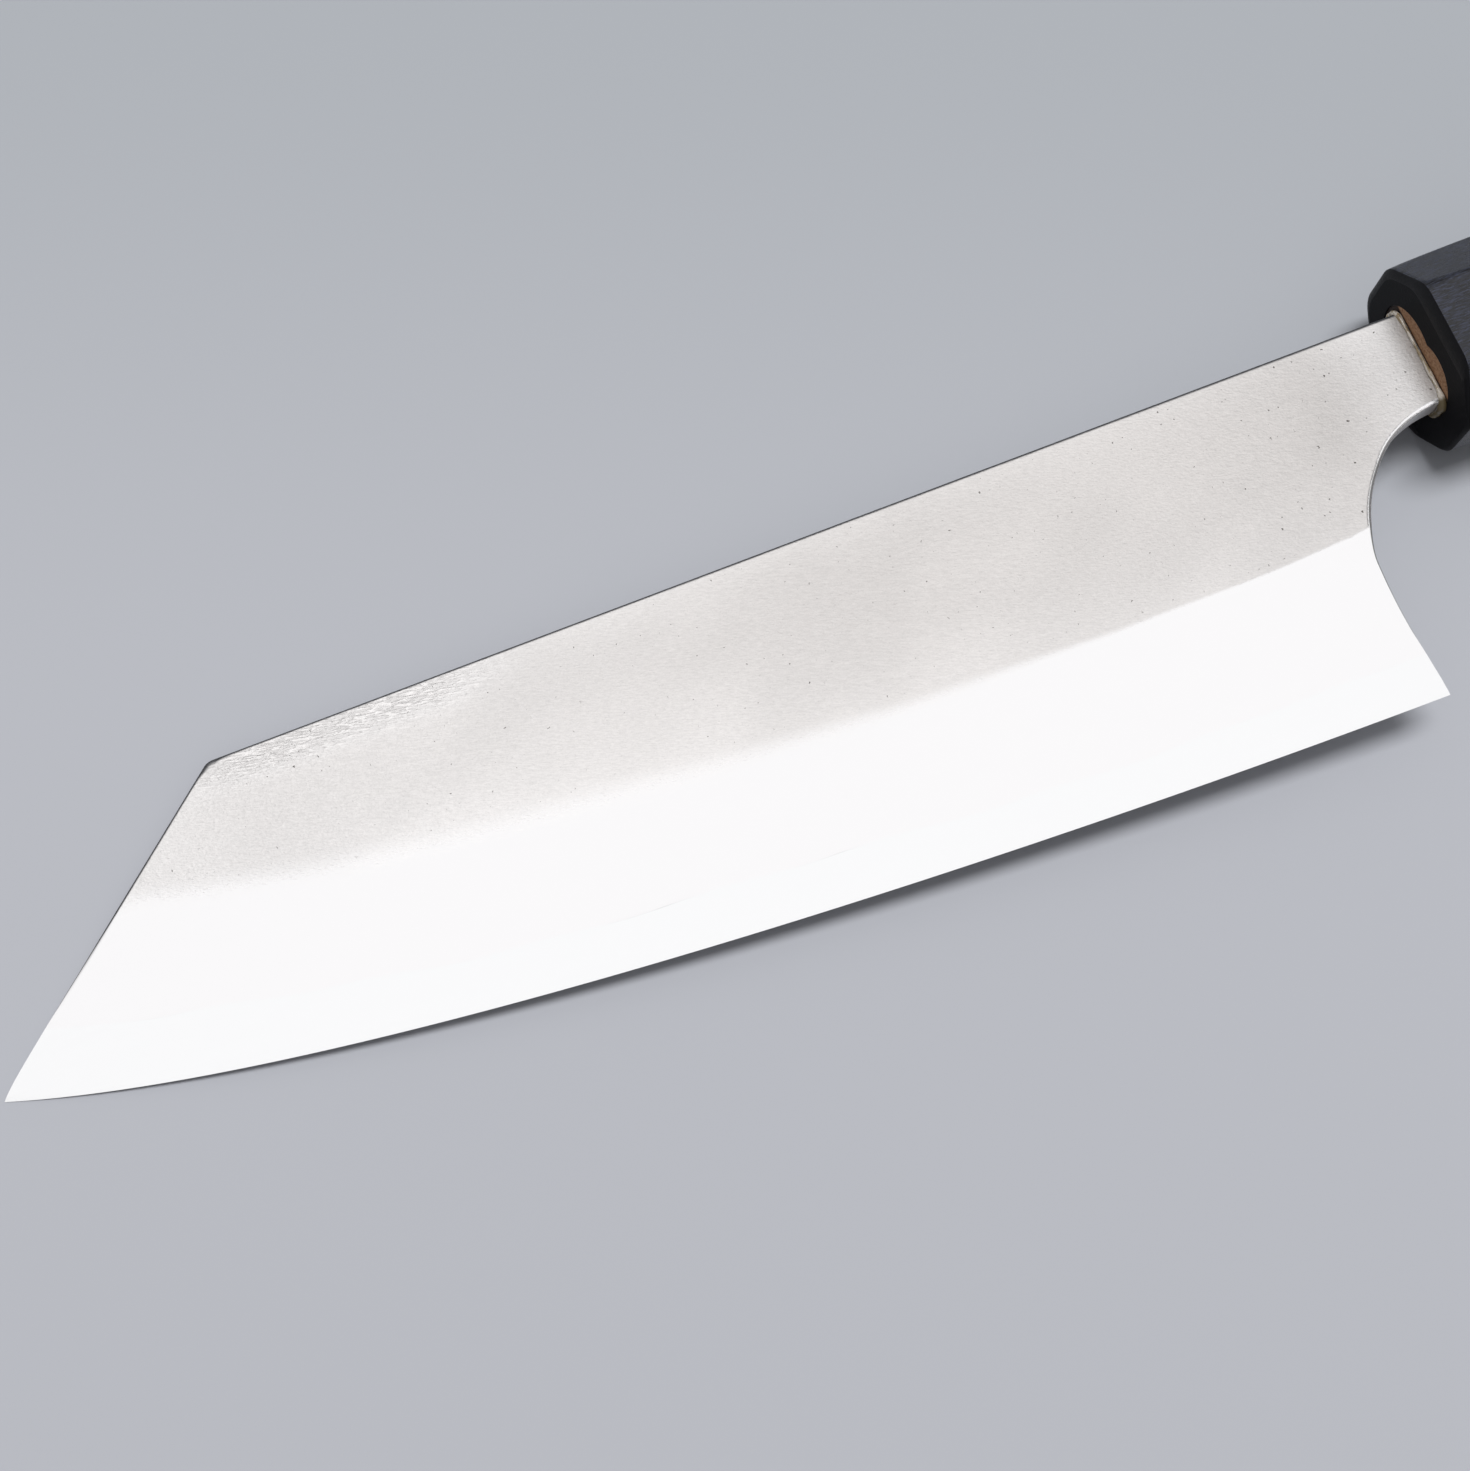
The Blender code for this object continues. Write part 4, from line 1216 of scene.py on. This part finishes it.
class KNIFE_OT_soft_layers(bpy.types.Operator):
    """Make the two soft outer layers of the blade"""

    bl_idname = "knife.soft_layers"
    bl_label = "Soft layers"

    def execute(self, context):
        blade = Blade()
        finish = steel_finish("pear_skin_and_polished_steel", context.scene.knife_colours.polished)
        for node, side in (("cladding_left", 1), ("cladding_right", -1)):
            dress(soft_layer(node + "_ground", side, blade), node, "soft_steel", finish)
        return {"FINISHED"}


class KNIFE_OT_hard_layer(bpy.types.Operator):
    """Make the hard middle layer of the blade with its cutting edge"""

    bl_idname = "knife.hard_layer"
    bl_label = "Hard layer"

    def execute(self, context):
        finish = steel_finish("polished_hard_steel", context.scene.knife_colours.hard_layer)
        dress(hard_layer("core_steel_ground", Blade()), "core_steel", "hard_steel", finish)
        return {"FINISHED"}


class KNIFE_OT_ferrule(bpy.types.Operator):
    """Make the black horn ferrule with its chamfered front"""

    bl_idname = "knife.ferrule"
    bl_label = "Ferrule"

    def execute(self, context):
        c = context.scene.knife_colours
        piece = ferrule("ferrule_polished")
        dress(piece, "ferrule", "black_horn", horn_finish(c), end_finish(c), chamfer_finish(c))
        mark_front(piece.data)
        return {"FINISHED"}


class KNIFE_OT_handle_body(bpy.types.Operator):
    """Make the octagonal ebony handle"""

    bl_idname = "knife.handle_body"
    bl_label = "Handle body"

    def execute(self, context):
        finish = ebony_finish(context.scene.knife_colours)
        dress(handle_body("handle_body_oiled"), "handle_body", "ebony", finish)
        return {"FINISHED"}


class KNIFE_OT_wood_core(bpy.types.Operator):
    """Make the brown wood core round the tang"""

    bl_idname = "knife.wood_core"
    bl_label = "Wood core"

    def execute(self, context):
        finish = plug_finish(context.scene.knife_colours)
        dress(wood_core("wood_core_burnt"), "wood_core", "brown_wood", finish)
        return {"FINISHED"}


class KNIFE_OT_resin_seal(bpy.types.Operator):
    """Make the resin bead round the neck"""

    bl_idname = "knife.resin_seal"
    bl_label = "Resin seal"

    def execute(self, context):
        finish = resin_finish(context.scene.knife_colours)
        dress(resin_seal("resin_seal_set"), "resin_seal", "clear_resin", finish)
        return {"FINISHED"}


class KNIFE_OT_stage(bpy.types.Operator):
    """Set the table, the light and the camera"""

    bl_idname = "knife.stage"
    bl_label = "Stage"

    def execute(self, context):
        s = context.scene.knife_stage
        table(s)
        lamps(s)
        room(s)
        camera(s)
        context.scene.view_settings.view_transform = "Standard"
        return {"FINISHED"}


def table(s):
    """Table top: a square that touches the handle's lower front edge and the tip."""
    drop = (HALF_HANDLE - s.tip_clearance) / -TIP_X
    half = s.table_size / 2
    corner = np.array([[-half, -half], [half, -half], [half, half], [-half, half]])
    height = -HALF_HANDLE - drop * corner[:, 0]
    data = bpy.data.meshes.new("table_top")
    data.from_pydata((with_height(corner, height) + ORIGIN).tolist(), [], [(0, 1, 2, 3)])
    data.materials.append(table_finish(bpy.context.scene.knife_colours))
    new_object("table_top", data)


def lamps(s):
    """Two lamps overhead: an oval one that lights table, wood and handle and casts the shadows,
    and a round panel that shows in the steel and in the polish of the handle alone."""
    middle = [(low + high) / 2 for low, high in zip(*CAD_BOX)]
    across = [math.sin(math.atan2(size / 2, s.lamp_height)) for size in (s.key_wide, s.key_deep)]
    key_glow = s.key_share / (across[0] * across[1])
    key = (s.key_wide, s.key_deep, key_glow, s.key_right, s.key_back, s.lamp_height)
    panel = (s.panel_size, s.panel_size, s.panel_glow, s.panel_right, s.panel_back,
             s.panel_height)
    for name, (wide, deep, glow, right, back, high) in (("key_lamp", key), ("wide_panel", panel)):
        light = bpy.data.lights.new(name, "AREA")
        light.shape = "ELLIPSE"
        light.size = wide
        light.size_y = deep
        light.energy = glow * math.pi * math.pi * wide * deep / 4
        made = new_object(name, light)
        made.location = (middle[0] + right, middle[1] + back, high)
        made.visible_glossy = name == "wide_panel"
        made.visible_diffuse = name == "key_lamp"


def room(s):
    """Plain room round the table: even light that gets weaker towards the horizon."""
    world = bpy.data.worlds.new("room")
    world.use_nodes = True
    tree = world.node_tree
    way = add(tree, "ShaderNodeTexCoord", ())
    z = add(tree, "ShaderNodeSeparateXYZ", (way,)).node.outputs["Z"]
    glow = add(tree, RAMP, (z, 0.1, 0.8, s.room_low, s.room_glow), **SMOOTH)
    fill(tree, tree.nodes["Background"], {"Color": rgba("#ffffff"), "Strength": glow})
    bpy.context.scene.world = world


def camera(s):
    """Camera above the blade, leaning and turned as the photograph's was."""
    lens = bpy.data.cameras.new("camera")
    lens.sensor_width = 36
    lens.lens = s.lens
    lens.clip_start = 0.01
    made = new_object("camera", lens)
    made.location = CAMERA_PLACE
    made.rotation_euler = (s.camera_tilt, 0, s.camera_turn)
    bpy.context.scene.camera = made


class KNIFE_PT_panel(bpy.types.Panel):
    """Lists the operators and the sizes of the knife"""

    bl_idname = "KNIFE_PT_panel"
    bl_label = "Knife"
    bl_space_type = "VIEW_3D"
    bl_region_type = "UI"
    bl_category = "Knife"

    def draw(self, context):
        for operator in OPERATORS:
            self.layout.operator(operator.bl_idname)
        for name in GROUPS:
            group = getattr(context.scene, name)
            box = self.layout.box()
            for key in group.bl_rna.properties.keys():
                if key not in ("rna_type", "name"):
                    box.prop(group, key)


OPERATORS = (KNIFE_OT_soft_layers, KNIFE_OT_hard_layer, KNIFE_OT_ferrule, KNIFE_OT_handle_body,
             KNIFE_OT_wood_core, KNIFE_OT_resin_seal, KNIFE_OT_stage)
GROUPS = {"knife_blade": KnifeBlade, "knife_handle": KnifeHandle, "knife_colours": KnifeColours,
          "knife_stage": KnifeStage}


def register():
    for name, group in GROUPS.items():
        bpy.utils.register_class(group)
        setattr(bpy.types.Scene, name, PointerProperty(type=group))
    for item in (*OPERATORS, KNIFE_PT_panel):
        bpy.utils.register_class(item)


def unregister():
    for item in (KNIFE_PT_panel, *reversed(OPERATORS)):
        bpy.utils.unregister_class(item)
    for name, group in GROUPS.items():
        delattr(bpy.types.Scene, name)
        bpy.utils.unregister_class(group)


def main():
    register()
    bpy.ops.knife.soft_layers()
    bpy.ops.knife.hard_layer()
    bpy.ops.knife.ferrule()
    bpy.ops.knife.handle_body()
    bpy.ops.knife.wood_core()
    bpy.ops.knife.resin_seal()
    bpy.ops.knife.stage()


if __name__ == "__main__":
    main()
